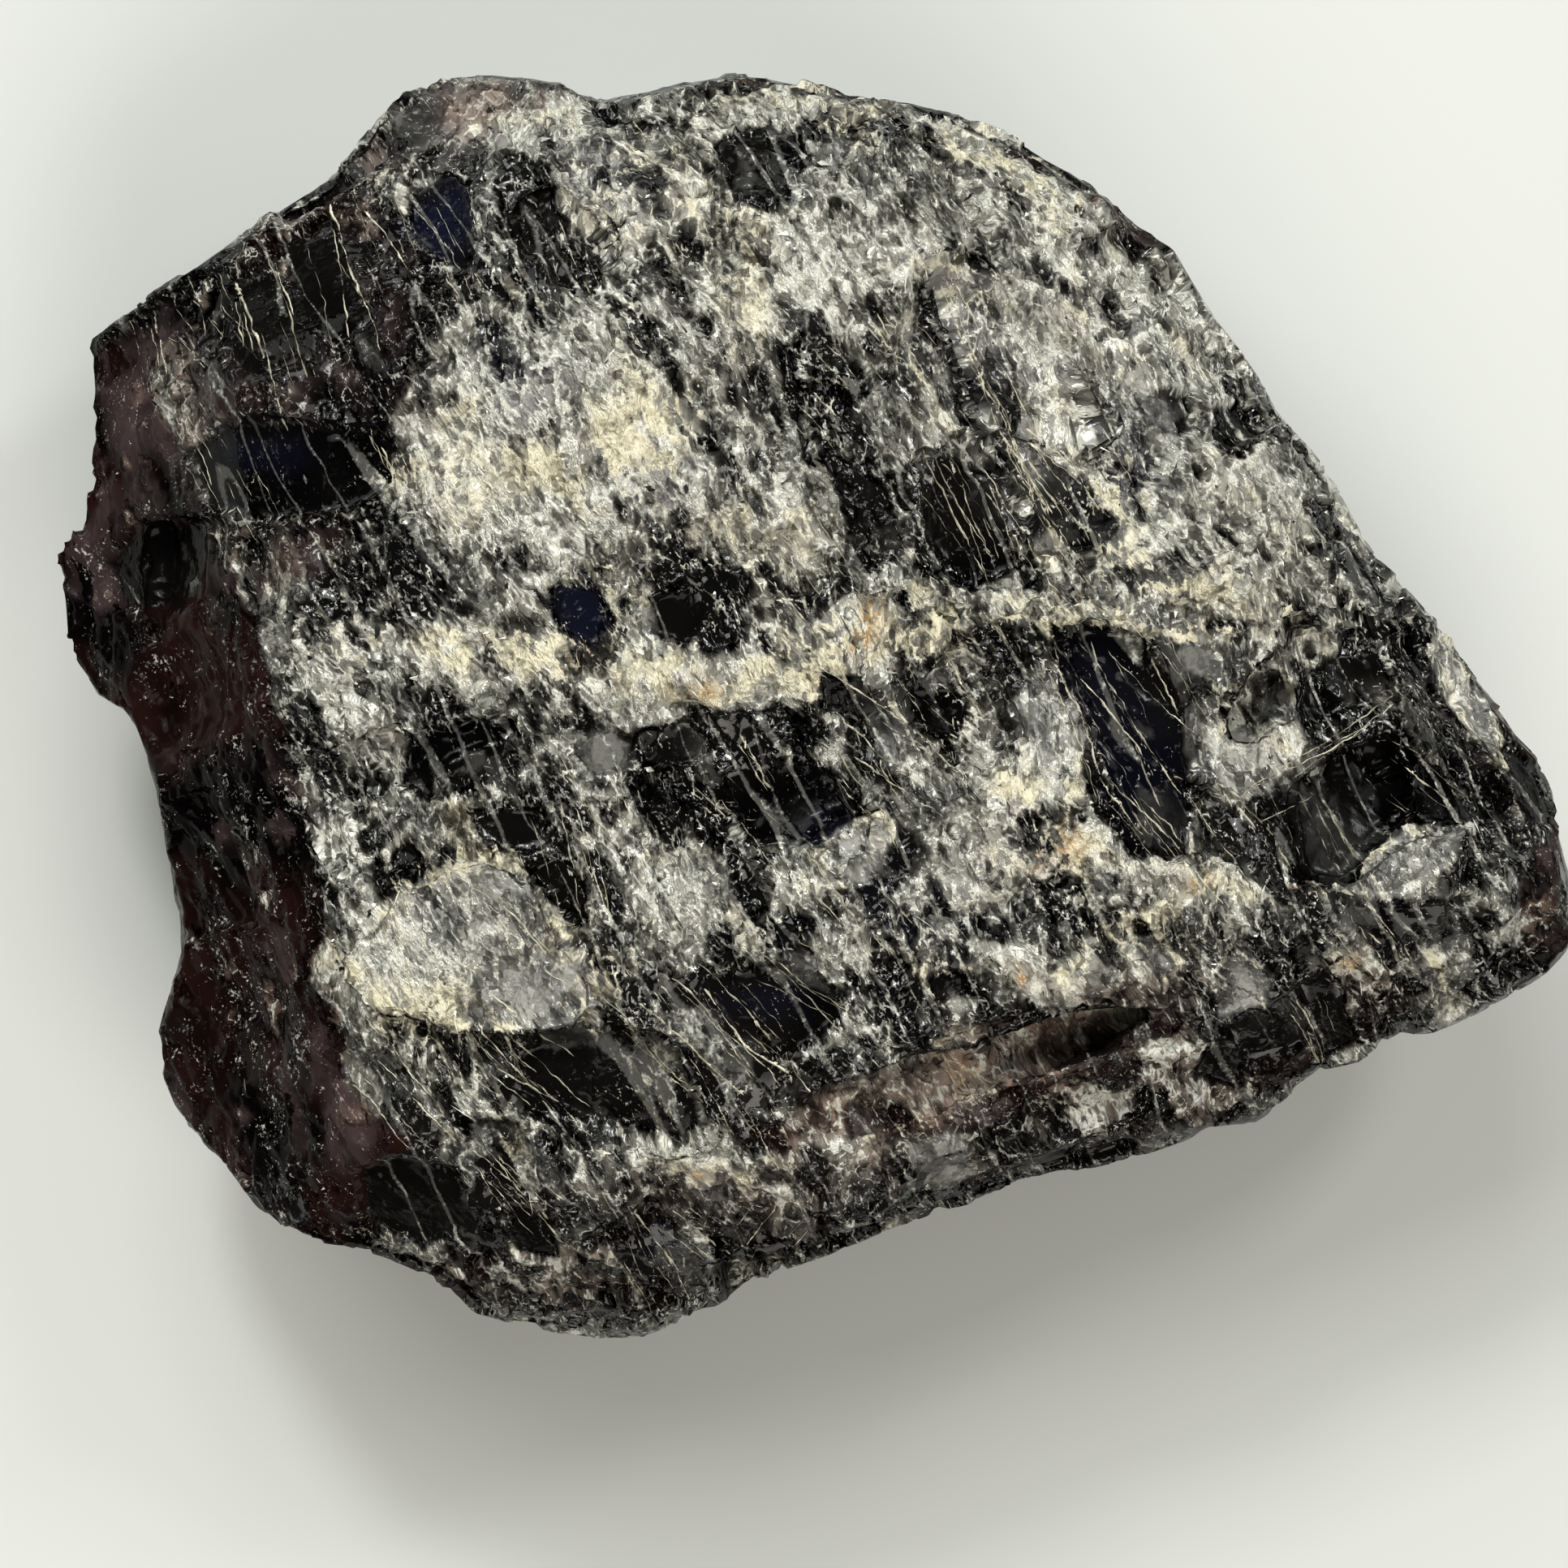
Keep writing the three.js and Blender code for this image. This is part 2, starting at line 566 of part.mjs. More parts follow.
function crystalGeometry() {
  const geometry = roughen(skinGeometry());
  const skin = new THREE.Mesh(geometry);
  let solid = solidOf(geometry);
  for (let item = 0; item < SMALL_BLOCKS.count; item++) solid = solid.subtract(smallBlock(item, skin));
  for (let item = 0; item < SIDE_FLAKES.count; item++) solid = solid.subtract(sideFlake(item, skin));
  for (const plate of STANDING_PLATES) solid = solid.add(standingPlate(plate, skin));
  for (const block of BROKEN_BLOCKS) solid = solid.subtract(brokenBlock(block, skin));
  for (const bite of SHELLS) solid = solid.subtract(shell(bite, skin));
  solid = solid.subtract(belowTheFloor());
  for (const sheet of UNDER_SHEETS) solid = solid.subtract(underSheet(sheet));
  return geometryOf(solid);
}

// The piece is moved so that the origin is exactly under the middle of its box
const geometry = crystalGeometry();
geometry.computeBoundingBox();
const middle = geometry.boundingBox.getCenter(new THREE.Vector3());
geometry.translate(-middle.x, -middle.y, -geometry.boundingBox.min.z);
geometry.computeVertexNormals();

const crystal = new THREE.Mesh(
  geometry,
  new THREE.MeshStandardMaterial({ color: 0x17161b, roughness: 0.28, metalness: 0 }),
);
crystal.name = "crystal";

const piece = new THREE.Group();
piece.add(crystal);

export default piece;
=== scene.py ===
import math

import bmesh
import bpy
import numpy as np
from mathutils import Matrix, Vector
from mathutils.bvhtree import BVHTree


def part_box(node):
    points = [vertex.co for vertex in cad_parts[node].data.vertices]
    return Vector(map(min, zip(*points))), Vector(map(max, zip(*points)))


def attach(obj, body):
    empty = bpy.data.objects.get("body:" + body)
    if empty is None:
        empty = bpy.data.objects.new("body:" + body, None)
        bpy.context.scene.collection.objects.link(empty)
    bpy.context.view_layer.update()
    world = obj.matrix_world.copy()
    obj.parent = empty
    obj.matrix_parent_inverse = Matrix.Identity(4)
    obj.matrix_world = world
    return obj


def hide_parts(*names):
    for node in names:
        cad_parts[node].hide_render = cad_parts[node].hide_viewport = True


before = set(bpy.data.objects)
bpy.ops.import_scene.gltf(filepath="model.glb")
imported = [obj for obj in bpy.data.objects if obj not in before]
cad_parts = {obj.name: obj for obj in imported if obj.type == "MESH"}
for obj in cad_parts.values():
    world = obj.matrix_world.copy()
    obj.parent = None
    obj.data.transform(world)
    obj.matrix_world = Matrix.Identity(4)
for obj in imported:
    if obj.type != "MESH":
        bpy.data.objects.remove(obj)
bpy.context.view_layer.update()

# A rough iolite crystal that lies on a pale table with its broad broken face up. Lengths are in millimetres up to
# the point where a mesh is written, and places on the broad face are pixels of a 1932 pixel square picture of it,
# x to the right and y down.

MM = 0.001
PICTURE = 1932
OUTLINE_COLUMNS = (60, 1940)
OUTLINE_ROWS = (92, 1646)

low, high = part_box("crystal")
pixel = (high.x - low.x) / MM / (OUTLINE_COLUMNS[1] - OUTLINE_COLUMNS[0])
middle_column = sum(OUTLINE_COLUMNS) / 2
middle_row = sum(OUTLINE_ROWS) / 2
top_height = high.z / MM
low_corner, high_corner = np.array(low) / MM, np.array(high) / MM

STEEP_PARTING = math.radians(-62)  # the direction in which most partings run over the broad face

STONE_VOXEL = 0.38
FINE_FACE = 0.25  # faces that look up at least this much are divided once more
MOST_RISE = 0.1  # how far the relief may stand out of the solid

# Blocks that stand out of or back from the broken faces: size across the partings, along them and up, how far
# a block stands out, and how far its face leans
BLOCKS = [
    dict(size=(3.4, 7.0, 3.0), step=0.2, lean=0.12, seed=3),
    dict(size=(1.5, 3.1, 1.7), step=0.12, lean=0.4, seed=11),
    dict(size=(0.7, 1.3, 0.8), step=0.06, lean=0.5, seed=23),
]
WAVES = [(2.6, 0.08, 5), (1.1, 0.05, 7), (0.5, 0.03, 9)]  # size, height, seed
STREAK = (1.3, 6, 2.5)  # how wide, long and high the paler and darker streaks along the partings are

# Hollows broken into the face, most of them windows of clear dark glass: depth, width of the slope at the edge, how
# clear the glass is, corners
HOLLOWS = [
    (0.9, 0.8, 0.25, [(1130, 330), (1300, 400), (1400, 480), (1440, 560), (1400, 640), (1340, 690), (1250, 640), (1170, 520), (1120, 430)]),
    (0.6, 0.12, 0.9, [(1540, 1000), (1640, 938), (1728, 890), (1738, 930), (1712, 1000), (1650, 1078), (1590, 1085)]),
    (0.45, 0.2, 0.7, [(1506, 905), (1540, 840), (1580, 826), (1575, 880), (1530, 912)]),
    (0.4, 0.12, 1.0, [(500, 905), (545, 893), (640, 884), (650, 908), (600, 918), (562, 932), (548, 960), (562, 986), (530, 988), (503, 965)]),
    (0.3, 0.12, 1.0, [(585, 992), (640, 995), (680, 1000), (676, 1040), (630, 1050), (598, 1022)]),
    (0.4, 0.1, 1.0, [(653, 1064), (690, 1050), (724, 1084), (730, 1132), (702, 1142), (682, 1110)]),
    (0.15, 0.1, 0.9, [(486, 1050), (505, 1034), (528, 1052), (520, 1080), (490, 1086)]),
    (0.3, 0.12, 0.8, [(1414, 490), (1466, 484), (1472, 528), (1440, 546), (1424, 520)]),
    (0.25, 0.12, 0.8, [(1488, 506), (1530, 500), (1552, 540), (1530, 574), (1494, 560)]),
    (0.15, 0.12, 0.8, [(1240, 600), (1290, 560), (1340, 600), (1374, 660), (1330, 690), (1262, 690)]),
    (0.35, 0.15, 1.0, [(650, 1292), (760, 1258), (850, 1280), (900, 1325), (845, 1400), (720, 1372), (645, 1325)]),
    (0.3, 0.12, 1.0, [(862, 968), (920, 940), (990, 932), (1080, 985), (1010, 1042), (940, 1036), (895, 1022)]),
    (0.3, 0.12, 1.0, [(868, 1192), (940, 1182), (1010, 1204), (1042, 1244), (966, 1302), (900, 1270)]),
    (0.25, 0.1, 0.9, [(1122, 850), (1170, 852), (1196, 880), (1180, 915), (1132, 905)]),
    (0.2, 0.12, 0.7, [(1284, 776), (1400, 784), (1490, 800), (1476, 870), (1462, 960), (1458, 1055), (1380, 1060), (1342, 1000), (1312, 900)]),
    (0.3, 0.12, 0.8, [(1590, 834), (1640, 806), (1702, 798), (1712, 850), (1650, 872), (1600, 900)]),
    (0.3, 0.15, 0.9, [(1150, 600), (1180, 570), (1206, 585), (1232, 640), (1252, 700), (1192, 732), (1140, 680)]),
    (0.25, 0.1, 1.0, [(676, 728), (700, 716), (748, 730), (766, 768), (736, 802), (694, 788)]),
    (0.3, 0.15, 1.0, [(440, 1440), (500, 1420), (560, 1432), (592, 1500), (520, 1542), (452, 1512)]),
    (0.25, 0.2, 0.8, [(262, 340), (330, 335), (404, 380), (402, 450), (310, 470), (246, 410)]),
    (0.3, 0.2, 1.0, [(228, 560), (290, 522), (400, 530), (492, 545), (498, 600), (440, 636), (330, 645), (262, 632)]),
    (0.25, 0.2, 1.0, [(120, 690), (168, 645), (255, 645), (250, 735), (180, 762), (140, 740)]),
    (0.3, 0.15, 1.0, [(500, 242), (540, 210), (576, 232), (592, 300), (580, 338), (540, 326), (504, 292)]),
    (0.25, 0.12, 0.3, [(692, 282), (758, 300), (742, 388), (686, 362)]),
    (0.2, 0.12, 0.6, [(1012, 560), (1090, 600), (1118, 690), (1040, 668)]),
    (0.3, 0.15, 0.7, [(1496, 1262), (1568, 1232), (1604, 1286), (1532, 1318)]),
    (0.25, 0.12, 0.8, [(572, 1362), (640, 1380), (662, 1420), (640, 1462), (580, 1432)]),
    (0.25, 0.12, 0.3, [(1200, 1110), (1262, 1100), (1300, 1140), (1250, 1172), (1200, 1160)]),
    (0.3, 0.2, 0.6, [(1690, 1110), (1790, 1100), (1850, 1130), (1790, 1180), (1700, 1180)]),
    (0.25, 0.12, 0.8, [(786, 900), (850, 890), (880, 930), (830, 960), (790, 946)]),
    (0.2, 0.1, 0.9, [(800, 735), (850, 725), (882, 762), (850, 800), (808, 790)]),
    (0.2, 0.1, 0.9, [(1000, 832), (1060, 820), (1102, 872), (1060, 902), (1010, 880)]),
    (0.2, 0.1, 0.8, [(1137, 1190), (1190, 1186), (1197, 1222), (1148, 1230)]),
    (0.15, 0.1, 0.8, [(1698, 902), (1760, 930), (1822, 1010), (1770, 1024), (1716, 1010)]),
    (0.15, 0.1, 0.7, [(1846, 860), (1896, 940), (1912, 1010), (1866, 1030), (1850, 950)]),
    (0.2, 0.1, 0.8, [(1573, 1146), (1610, 1136), (1672, 1290), (1620, 1306)]),
    (0.2, 0.1, 0.7, [(1636, 1112), (1700, 1104), (1760, 1190), (1690, 1196)]),
    (0.2, 0.1, 0.9, [(350, 300), (420, 270), (470, 400), (420, 440), (372, 400)]),
    (0.2, 0.1, 0.8, [(620, 240), (680, 225), (705, 290), (650, 330), (622, 300)]),
    (0.2, 0.1, 0.8, [(1480, 1270), (1540, 1300), (1530, 1350), (1470, 1330)]),
    (0.2, 0.1, 0.9, [(620, 1470), (690, 1490), (700, 1560), (640, 1540)]),
    (0.2, 0.1, 0.9, [(880, 180), (950, 150), (1010, 200), (960, 250), (900, 240)]),
    (0.3, 0.4, 0.0, [(960, 1400), (1100, 1320), (1240, 1255), (1400, 1240), (1340, 1290), (1180, 1340), (1060, 1400)]),
]

# Grooves: depth, half width and the points that each follows
GROOVES = [
    (0.45, 0.55, [(752, 124), (800, 180), (860, 250), (905, 330)]),
    (0.2, 0.2, [(1283, 1130), (1360, 1180), (1420, 1230)]),
    (0.25, 0.25, [(930, 1400), (1060, 1330), (1200, 1270), (1390, 1215)]),
    (0.2, 0.2, [(660, 1262), (760, 1235), (860, 1250), (960, 1290)]),
    (0.2, 0.2, [(380, 860), (470, 900), (560, 900), (640, 880)]),
]

# Ripples of the shell-shaped break: the middle, how far they reach and how far apart they are, in millimetres
RIPPLES = [((1240, 430), 2.1, 0.27), ((1350, 540), 1.6, 0.3), ((1140, 1120), 1.5, 0.36)]

# Bright crushed patches: column, row, reach along and across, turn in degrees, strength
CRUSHED = [
    (690, 560, 220, 160, 12, 1.1), (800, 560, 110, 95, 0, 1.0), (640, 480, 130, 95, 0, 0.85),
    (940, 640, 60, 110, 30, 0.6), (600, 810, 150, 50, 8, 0.9), (820, 850, 170, 45, 4, 0.9), (885, 845, 100, 42, -4, 1.9), (1055, 785, 60, 40, 10, 1.0),
    (1050, 790, 110, 45, -8, 0.85), (1250, 750, 150, 30, -8, 0.75), (1480, 700, 150, 60, -12, 0.8),
    (1560, 640, 80, 80, 0, 0.6), (1620, 760, 60, 40, 0, 0.6), (1430, 400, 150, 45, -53, 0.8), (1560, 590, 90, 35, -50, 0.5), (990, 340, 120, 100, 0, 0.8),
    (1120, 330, 90, 60, 30, 0.6), (1140, 565, 110, 60, 0, 0.9), (1050, 650, 60, 60, 0, 0.6), (745, 255, 50, 90, 25, 0.8), (1230, 300, 70, 60, 0, 0.6), (850, 300, 40, 60, 20, 0.6), (1240, 430, 120, 110, 0, 0.7), (1340, 560, 70, 150, 15, 0.7),
    (1250, 205, 140, 46, -32, 1.0), (980, 135, 120, 38, 8, 0.85), (680, 150, 90, 50, 0, 0.7),
    (614, 290, 26, 60, 15, 0.6), (810, 200, 40, 95, 38, 0.6), (900, 420, 110, 90, 0, 0.55),
    (230, 530, 60, 25, -20, 0.8), (450, 830, 80, 80, 0, 0.55), (330, 700, 60, 70, 0, 0.5),
    (520, 1180, 140, 80, 20, 1.0), (560, 1090, 90, 30, 20, 0.5), (470, 1235, 90, 40, -45, 0.8), (680, 1110, 60, 90, -25, 0.6),
    (840, 1110, 70, 50, 0, 0.8), (1190, 1085, 90, 80, 0, 0.6), (1080, 1170, 130, 40, 10, 0.6),
    (1260, 990, 110, 90, 40, 0.85), (1180, 930, 70, 60, 0, 0.6), (1330, 1060, 90, 60, 30, 0.7),
    (1470, 1090, 110, 45, -5, 0.85), (1530, 900, 70, 60, 0, 0.95), (1600, 830, 60, 60, 0, 0.5),
    (1720, 1060, 90, 45, -10, 0.8), (1270, 1190, 130, 55, -10, 0.7), (1640, 1190, 90, 30, -8, 0.6),
    (1006, 1262, 24, 45, 30, 0.6), (1160, 1420, 50, 50, 0, 0.5), (860, 1430, 150, 40, 8, 0.75),
    (1010, 1410, 70, 50, 0, 0.6), (700, 1530, 120, 50, -20, 0.6), (930, 1500, 110, 50, 15, 0.6),
    (1400, 1310, 110, 35, 20, 0.6), (1480, 1345, 80, 26, 20, 0.7), (1130, 1335, 170, 34, 27, 0.75), (1330, 1262, 110, 26, 14, 0.7), (620, 1370, 60, 60, 0, 0.45), (790, 1445, 90, 46, 20, 0.9), (730, 1540, 60, 60, 0, 0.7), (430, 1170, 46, 110, 0, 0.75), (450, 1235, 60, 36, 0, 0.9), (1640, 745, 60, 40, -40, 0.7), (1740, 815, 60, 40, -50, 0.8), (1480, 610, 50, 60, 0, 0.7), (1380, 1345, 70, 30, 20, 0.8), (960, 1095, 50, 40, 0, 0.7), (600, 830, 90, 36, 0, 1.0), (1870, 1110, 70, 60, 0, 1.0), (300, 690, 40, 50, 0, 0.9), (190, 470, 46, 40, 0, 0.7),
    (420, 1090, 40, 80, 0, 0.6), (615, 962, 70, 28, 20, 0.7),
    (1800, 870, 40, 80, 25, 0.7), (1870, 1090, 30, 60, 10, 0.6), (1100, 130, 60, 25, 8, 0.5),
]

# Cream veins: half width in pixels, strength and the points that each follows
VEINS = [
    (20, 1.0, [(480, 790), (600, 812), (740, 815), (870, 858), (960, 840), (1080, 790), (1250, 748)]),
    (16, 0.6, [(1250, 748), (1400, 722), (1500, 730), (1600, 765)]),
    (14, 0.7, [(1280, 780), (1380, 772), (1500, 782)]),
    (14, 0.7, [(400, 1180), (520, 1250), (640, 1260), (770, 1200)]),
    (13, 0.7, [(1080, 1200), (1130, 1190), (1280, 1180), (1400, 1130), (1480, 1092), (1600, 1080)]),
    (22, 0.8, [(1240, 965), (1290, 1000), (1340, 1050)]),
    (30, 1.0, [(1020, 800), (1060, 780), (1100, 765)]),
    (14, 0.7, [(740, 1420), (820, 1436), (900, 1450), (980, 1430), (1050, 1402)]),
    (30, 0.8, [(1180, 175), (1240, 205), (1320, 262)]),
    (20, 0.7, [(900, 112), (970, 118), (1050, 168)]),
    (34, 1.0, [(720, 590), (800, 560), (880, 510)]),
    (12, 0.6, [(1480, 1085), (1600, 1096), (1680, 1040)]),
    (10, 0.7, [(1517, 990), (1583, 953), (1639, 915), (1709, 869)]),
    (14, 0.6, [(500, 1105), (560, 1066), (620, 1050), (680, 1100), (710, 1160), (762, 1215)]),
    (12, 0.5, [(620, 1400), (700, 1500), (790, 1560)]),
    (12, 0.6, [(1640, 1190), (1700, 1180), (1760, 1186)]),
    (7, 0.6, [(960, 1385), (1100, 1310), (1250, 1262), (1400, 1235)]),
    (6, 0.5, [(1000, 1410), (1120, 1345), (1260, 1300), (1380, 1280)]),
    (8, 0.5, [(1080, 1400), (1180, 1350), (1300, 1330)]),
]

RUST = [
    (1075, 770, 26), (1060, 795, 24), (1085, 760, 20), (735, 805, 22), (870, 855, 24), (1150, 1285, 20), (1270, 1060, 26),
    (1455, 1090, 22), (1600, 1080, 14), (1250, 1190, 20), (1660, 1190, 18), (1180, 1320, 30), (1310, 1045, 30),
    (860, 1450, 18), (1350, 645, 12),
]

# Dark windows into the glass, as the crushed patches are written
WINDOWS = [
    (365, 585, 130, 60, 5, 1.0), (745, 935, 50, 36, 0, 0.9), (1090, 1065, 50, 36, 30, 0.7), (905, 1280, 80, 36, -48, 1.0), (340, 450, 70, 34, 0, 0.8), (470, 330, 50, 40, 0, 0.6), (300, 520, 220, 200, 0, 0.25), (1420, 712, 60, 26, 0, 0.8), (1480, 845, 50, 30, 0, 0.7), (1500, 1060, 60, 24, 0, 0.6), (930, 240, 60, 36, 0, 0.8), (1100, 290, 40, 40, 0, 0.6), (1020, 1425, 50, 30, 20, 0.6), (650, 690, 50, 30, 0, 0.5), (1650, 980, 260, 220, 0, 0.4), (1000, 1400, 420, 140, 10, 0.25), (545, 275, 35, 50, 0, 1.0), (760, 1325, 150, 64, -8, 1.1), (950, 1240, 90, 60, 15, 0.9),
    (960, 985, 100, 55, 0, 1.0), (1190, 640, 60, 90, 20, 0.95), (1610, 1010, 100, 70, 0, 1.0),
    (1600, 860, 60, 30, 0, 0.8), (580, 935, 80, 45, 5, 1.0), (520, 1450, 60, 50, 0, 1.0), (680, 345, 40, 40, 20, 0.8),
    (330, 400, 110, 60, 35, 0.8), (740, 790, 40, 50, 10, 0.9), (430, 330, 60, 40, 40, 0.7),
    (830, 960, 70, 50, 0, 0.7), (1130, 890, 64, 54, 10, 1.0), (670, 1080, 40, 30, 0, 0.8), (850, 1210, 60, 30, 0, 0.8),
    (1130, 800, 45, 30, 0, 0.6), (1720, 800, 60, 40, -40, 0.7), (1560, 1250, 90, 50, -10, 0.7), (1760, 1180, 80, 40, -10, 0.5),
    (620, 1440, 60, 40, 30, 0.8), (820, 1540, 60, 40, 0, 0.7), (210, 700, 70, 70, 0, 0.9), (930, 900, 50, 22, 0, 0.7),
    (1290, 1015, 60, 50, 0, 0.3), (1230, 770, 50, 24, 0, 0.3), (590, 1500, 46, 60, 20, 0.8), (700, 1500, 46, 36, 0, 0.6), (650, 785, 44, 30, 0, 0.7), (1000, 725, 44, 40, 0, 0.5), (1160, 1175, 50, 30, 0, 0.5), (480, 565, 34, 44, 0, 0.6), (1080, 690, 44, 34, 0, 0.7), (1618, 636, 26, 26, 0, 0.6), (870, 730, 50, 35, 0, 0.7),
]

# Smooth grey plates with light in them: corners and strength
PLATES = [
    (0.8, [(506, 1092), (560, 1062), (612, 1052), (662, 1082), (702, 1152), (764, 1222), (706, 1262), (600, 1262), (482, 1240), (424, 1176)]),
    (0.6, [(994, 1050), (1030, 1016), (1070, 996), (1098, 1020), (1084, 1072), (1040, 1092)]),
    (1.0, [(1240, 870), (1282, 838), (1312, 872), (1330, 916), (1312, 980), (1262, 962)]),
    (0.9, [(1636, 1094), (1676, 1052), (1720, 1026), (1792, 1014), (1776, 1058), (1706, 1100)]),
    (0.8, [(1755, 800), (1790, 780), (1838, 870), (1845, 930), (1810, 900)]),
    (0.7, [(1480, 930), (1500, 900), (1545, 890), (1575, 930), (1560, 975), (1500, 985)]),
    (0.8, [(1110, 1400), (1150, 1375), (1200, 1400), (1195, 1450), (1140, 1462)]),
    (0.6, [(1480, 1200), (1520, 1180), (1560, 1200), (1550, 1240), (1500, 1245)]),
    (0.7, [(1262, 680), (1290, 665), (1310, 680), (1290, 692)]),
    (0.5, [(210, 820), (250, 780), (290, 800), (300, 860), (240, 900)]),
    (0.35, [(1440, 800), (1500, 780), (1560, 790), (1530, 842), (1500, 852), (1450, 830)]),
    (0.3, [(710, 905), (770, 895), (784, 945), (730, 960)]),
    (0.45, [(1534, 860), (1560, 846), (1590, 880), (1588, 930), (1550, 925)]),
    (0.5, [(1300, 1192), (1330, 1180), (1372, 1200), (1352, 1240), (1312, 1232)]),
    (0.5, [(1380, 1160), (1420, 1150), (1450, 1190), (1420, 1220)]),
    (0.35, [(790, 1060), (850, 1050), (880, 1100), (830, 1140), (794, 1110)]),
    (0.7, [(1385, 455), (1440, 500), (1462, 560), (1440, 640), (1400, 690), (1370, 700), (1410, 640), (1425, 570), (1405, 510), (1370, 475)]),
    (0.5, [(1130, 330), (1210, 345), (1300, 375), (1390, 440), (1440, 490), (1425, 505), (1370, 460), (1290, 405), (1200, 372), (1130, 350)]),
    (0.5, [(450, 200), (490, 140), (540, 105), (620, 96), (700, 104), (738, 132), (660, 150), (600, 150), (520, 190), (470, 230)]),
]

# Where the glass is smoky and lets light out, as the crushed patches are written
SMOKE = [
    (1290, 480, 130, 230, 35, 0.6), (1180, 300, 160, 90, -20, 0.7), (600, 140, 150, 70, 0, 1.0), (740, 230, 60, 130, 25, 0.8),
    (850, 250, 50, 80, 30, 0.7), (1380, 350, 60, 160, 38, 0.7), (1480, 600, 100, 110, 0, 0.7), (830, 640, 110, 70, 20, 0.6),
    (1130, 540, 70, 60, 0, 0.8), (1130, 1050, 120, 80, 0, 0.6), (1300, 1190, 180, 40, -8, 0.6), (700, 1120, 70, 80, 0, 0.4),
    (640, 500, 160, 120, 0, 0.6), (1190, 1315, 260, 60, 16, 1.2), (230, 500, 120, 110, 0, 0.9), (420, 400, 100, 90, 0, 0.8), (440, 1200, 50, 110, 10, 0.6), (1000, 130, 160, 40, 8, 0.7),
    (880, 420, 90, 110, 0, 0.5), (1230, 900, 60, 60, 0, 0.5), (480, 200, 50, 40, -40, 0.7), (1650, 730, 60, 70, 30, 0.5),
    (900, 1470, 130, 50, 10, 0.4), (720, 1560, 90, 40, 10, 0.5), (1820, 900, 40, 100, 30, 0.4), (1000, 640, 60, 60, 0, 0.4),
    (1370, 900, 150, 70, -65, 1.0), (1180, 650, 60, 90, 25, 0.6),
    (330, 700, 100, 60, 0, 0.9), (460, 690, 90, 60, 0, 0.5), (120, 440, 50, 40, 0, 0.3),
]

# Where daylight comes blue out of the glass, as the crushed patches are written
BLUE = [
    (545, 275, 44, 64, 8, 1.0), (728, 768, 44, 40, 0, 0.8), (1390, 560, 60, 120, -10, 0.5), (640, 480, 90, 70, 0, 0.5), (740, 220, 50, 110, 25, 0.5), (600, 140, 130, 50, 0, 0.35), (1240, 430, 120, 110, 0, 0.35), (1035, 1045, 60, 50, 0, 0.6), (1120, 1130, 110, 60, 0, 0.3), (1360, 570, 34, 60, 20, 0.5), (840, 612, 60, 24, 20, 0.6),
    (690, 470, 50, 60, 0, 0.35), (470, 215, 40, 30, 40, 0.4), (1100, 1140, 30, 24, 0, 0.8), (830, 1530, 40, 24, -10, 0.6),
    (240, 850, 50, 40, 30, 0.5), (330, 560, 60, 30, 0, 0.4), (1370, 900, 150, 60, -65, 0.3), (1860, 1100, 24, 50, 10, 0.5), (940, 1230, 60, 30, 10, 0.35),
]

# The red-brown, smoother sides: partly the stone's own red-brown skin, partly painted shade and a painted warm
# reflection on the sides. Strength and corners
BROWN_AND_SHADE = [
    (1.0, [(40, 400), (190, 480), (230, 600), (330, 800), (390, 1000), (400, 1200), (440, 1330), (500, 1400), (440, 1560), (150, 1480), (40, 900)]),
    (0.55, [(900, 1400), (1010, 1330), (1100, 1300), (1240, 1235), (1430, 1224), (1470, 1262), (1360, 1345), (1240, 1392), (1060, 1424), (960, 1430)]),
    (0.45, [(1700, 790), (1760, 800), (1830, 900), (1900, 990), (1910, 1040), (1840, 1040), (1760, 960)]),
    (0.5, [(1108, 1372), (1196, 1368), (1208, 1442), (1150, 1466), (1104, 1440)]),
    (0.4, [(400, 1430), (450, 1425), (475, 1500), (440, 1530), (400, 1490)]),
    (0.45, [(560, 1440), (760, 1430), (960, 1400), (1250, 1200), (1700, 1150), (1760, 1240), (1500, 1400), (1100, 1500), (800, 1640), (520, 1600)]),
    (0.7, [(1850, 1030), (1900, 1000), (1960, 1060), (1950, 1230), (1870, 1200)]),
    (0.5, [(420, 230), (440, 170), (500, 110), (600, 80), (700, 95), (740, 125), (640, 150), (560, 190), (480, 240)]),
    (0.5, [(90, 430), (240, 300), (420, 200), (560, 330), (520, 560), (430, 700), (330, 760), (200, 640)]),
    (0.8, [(90, 430), (180, 380), (260, 360), (240, 420), (190, 480), (110, 520)]),
]

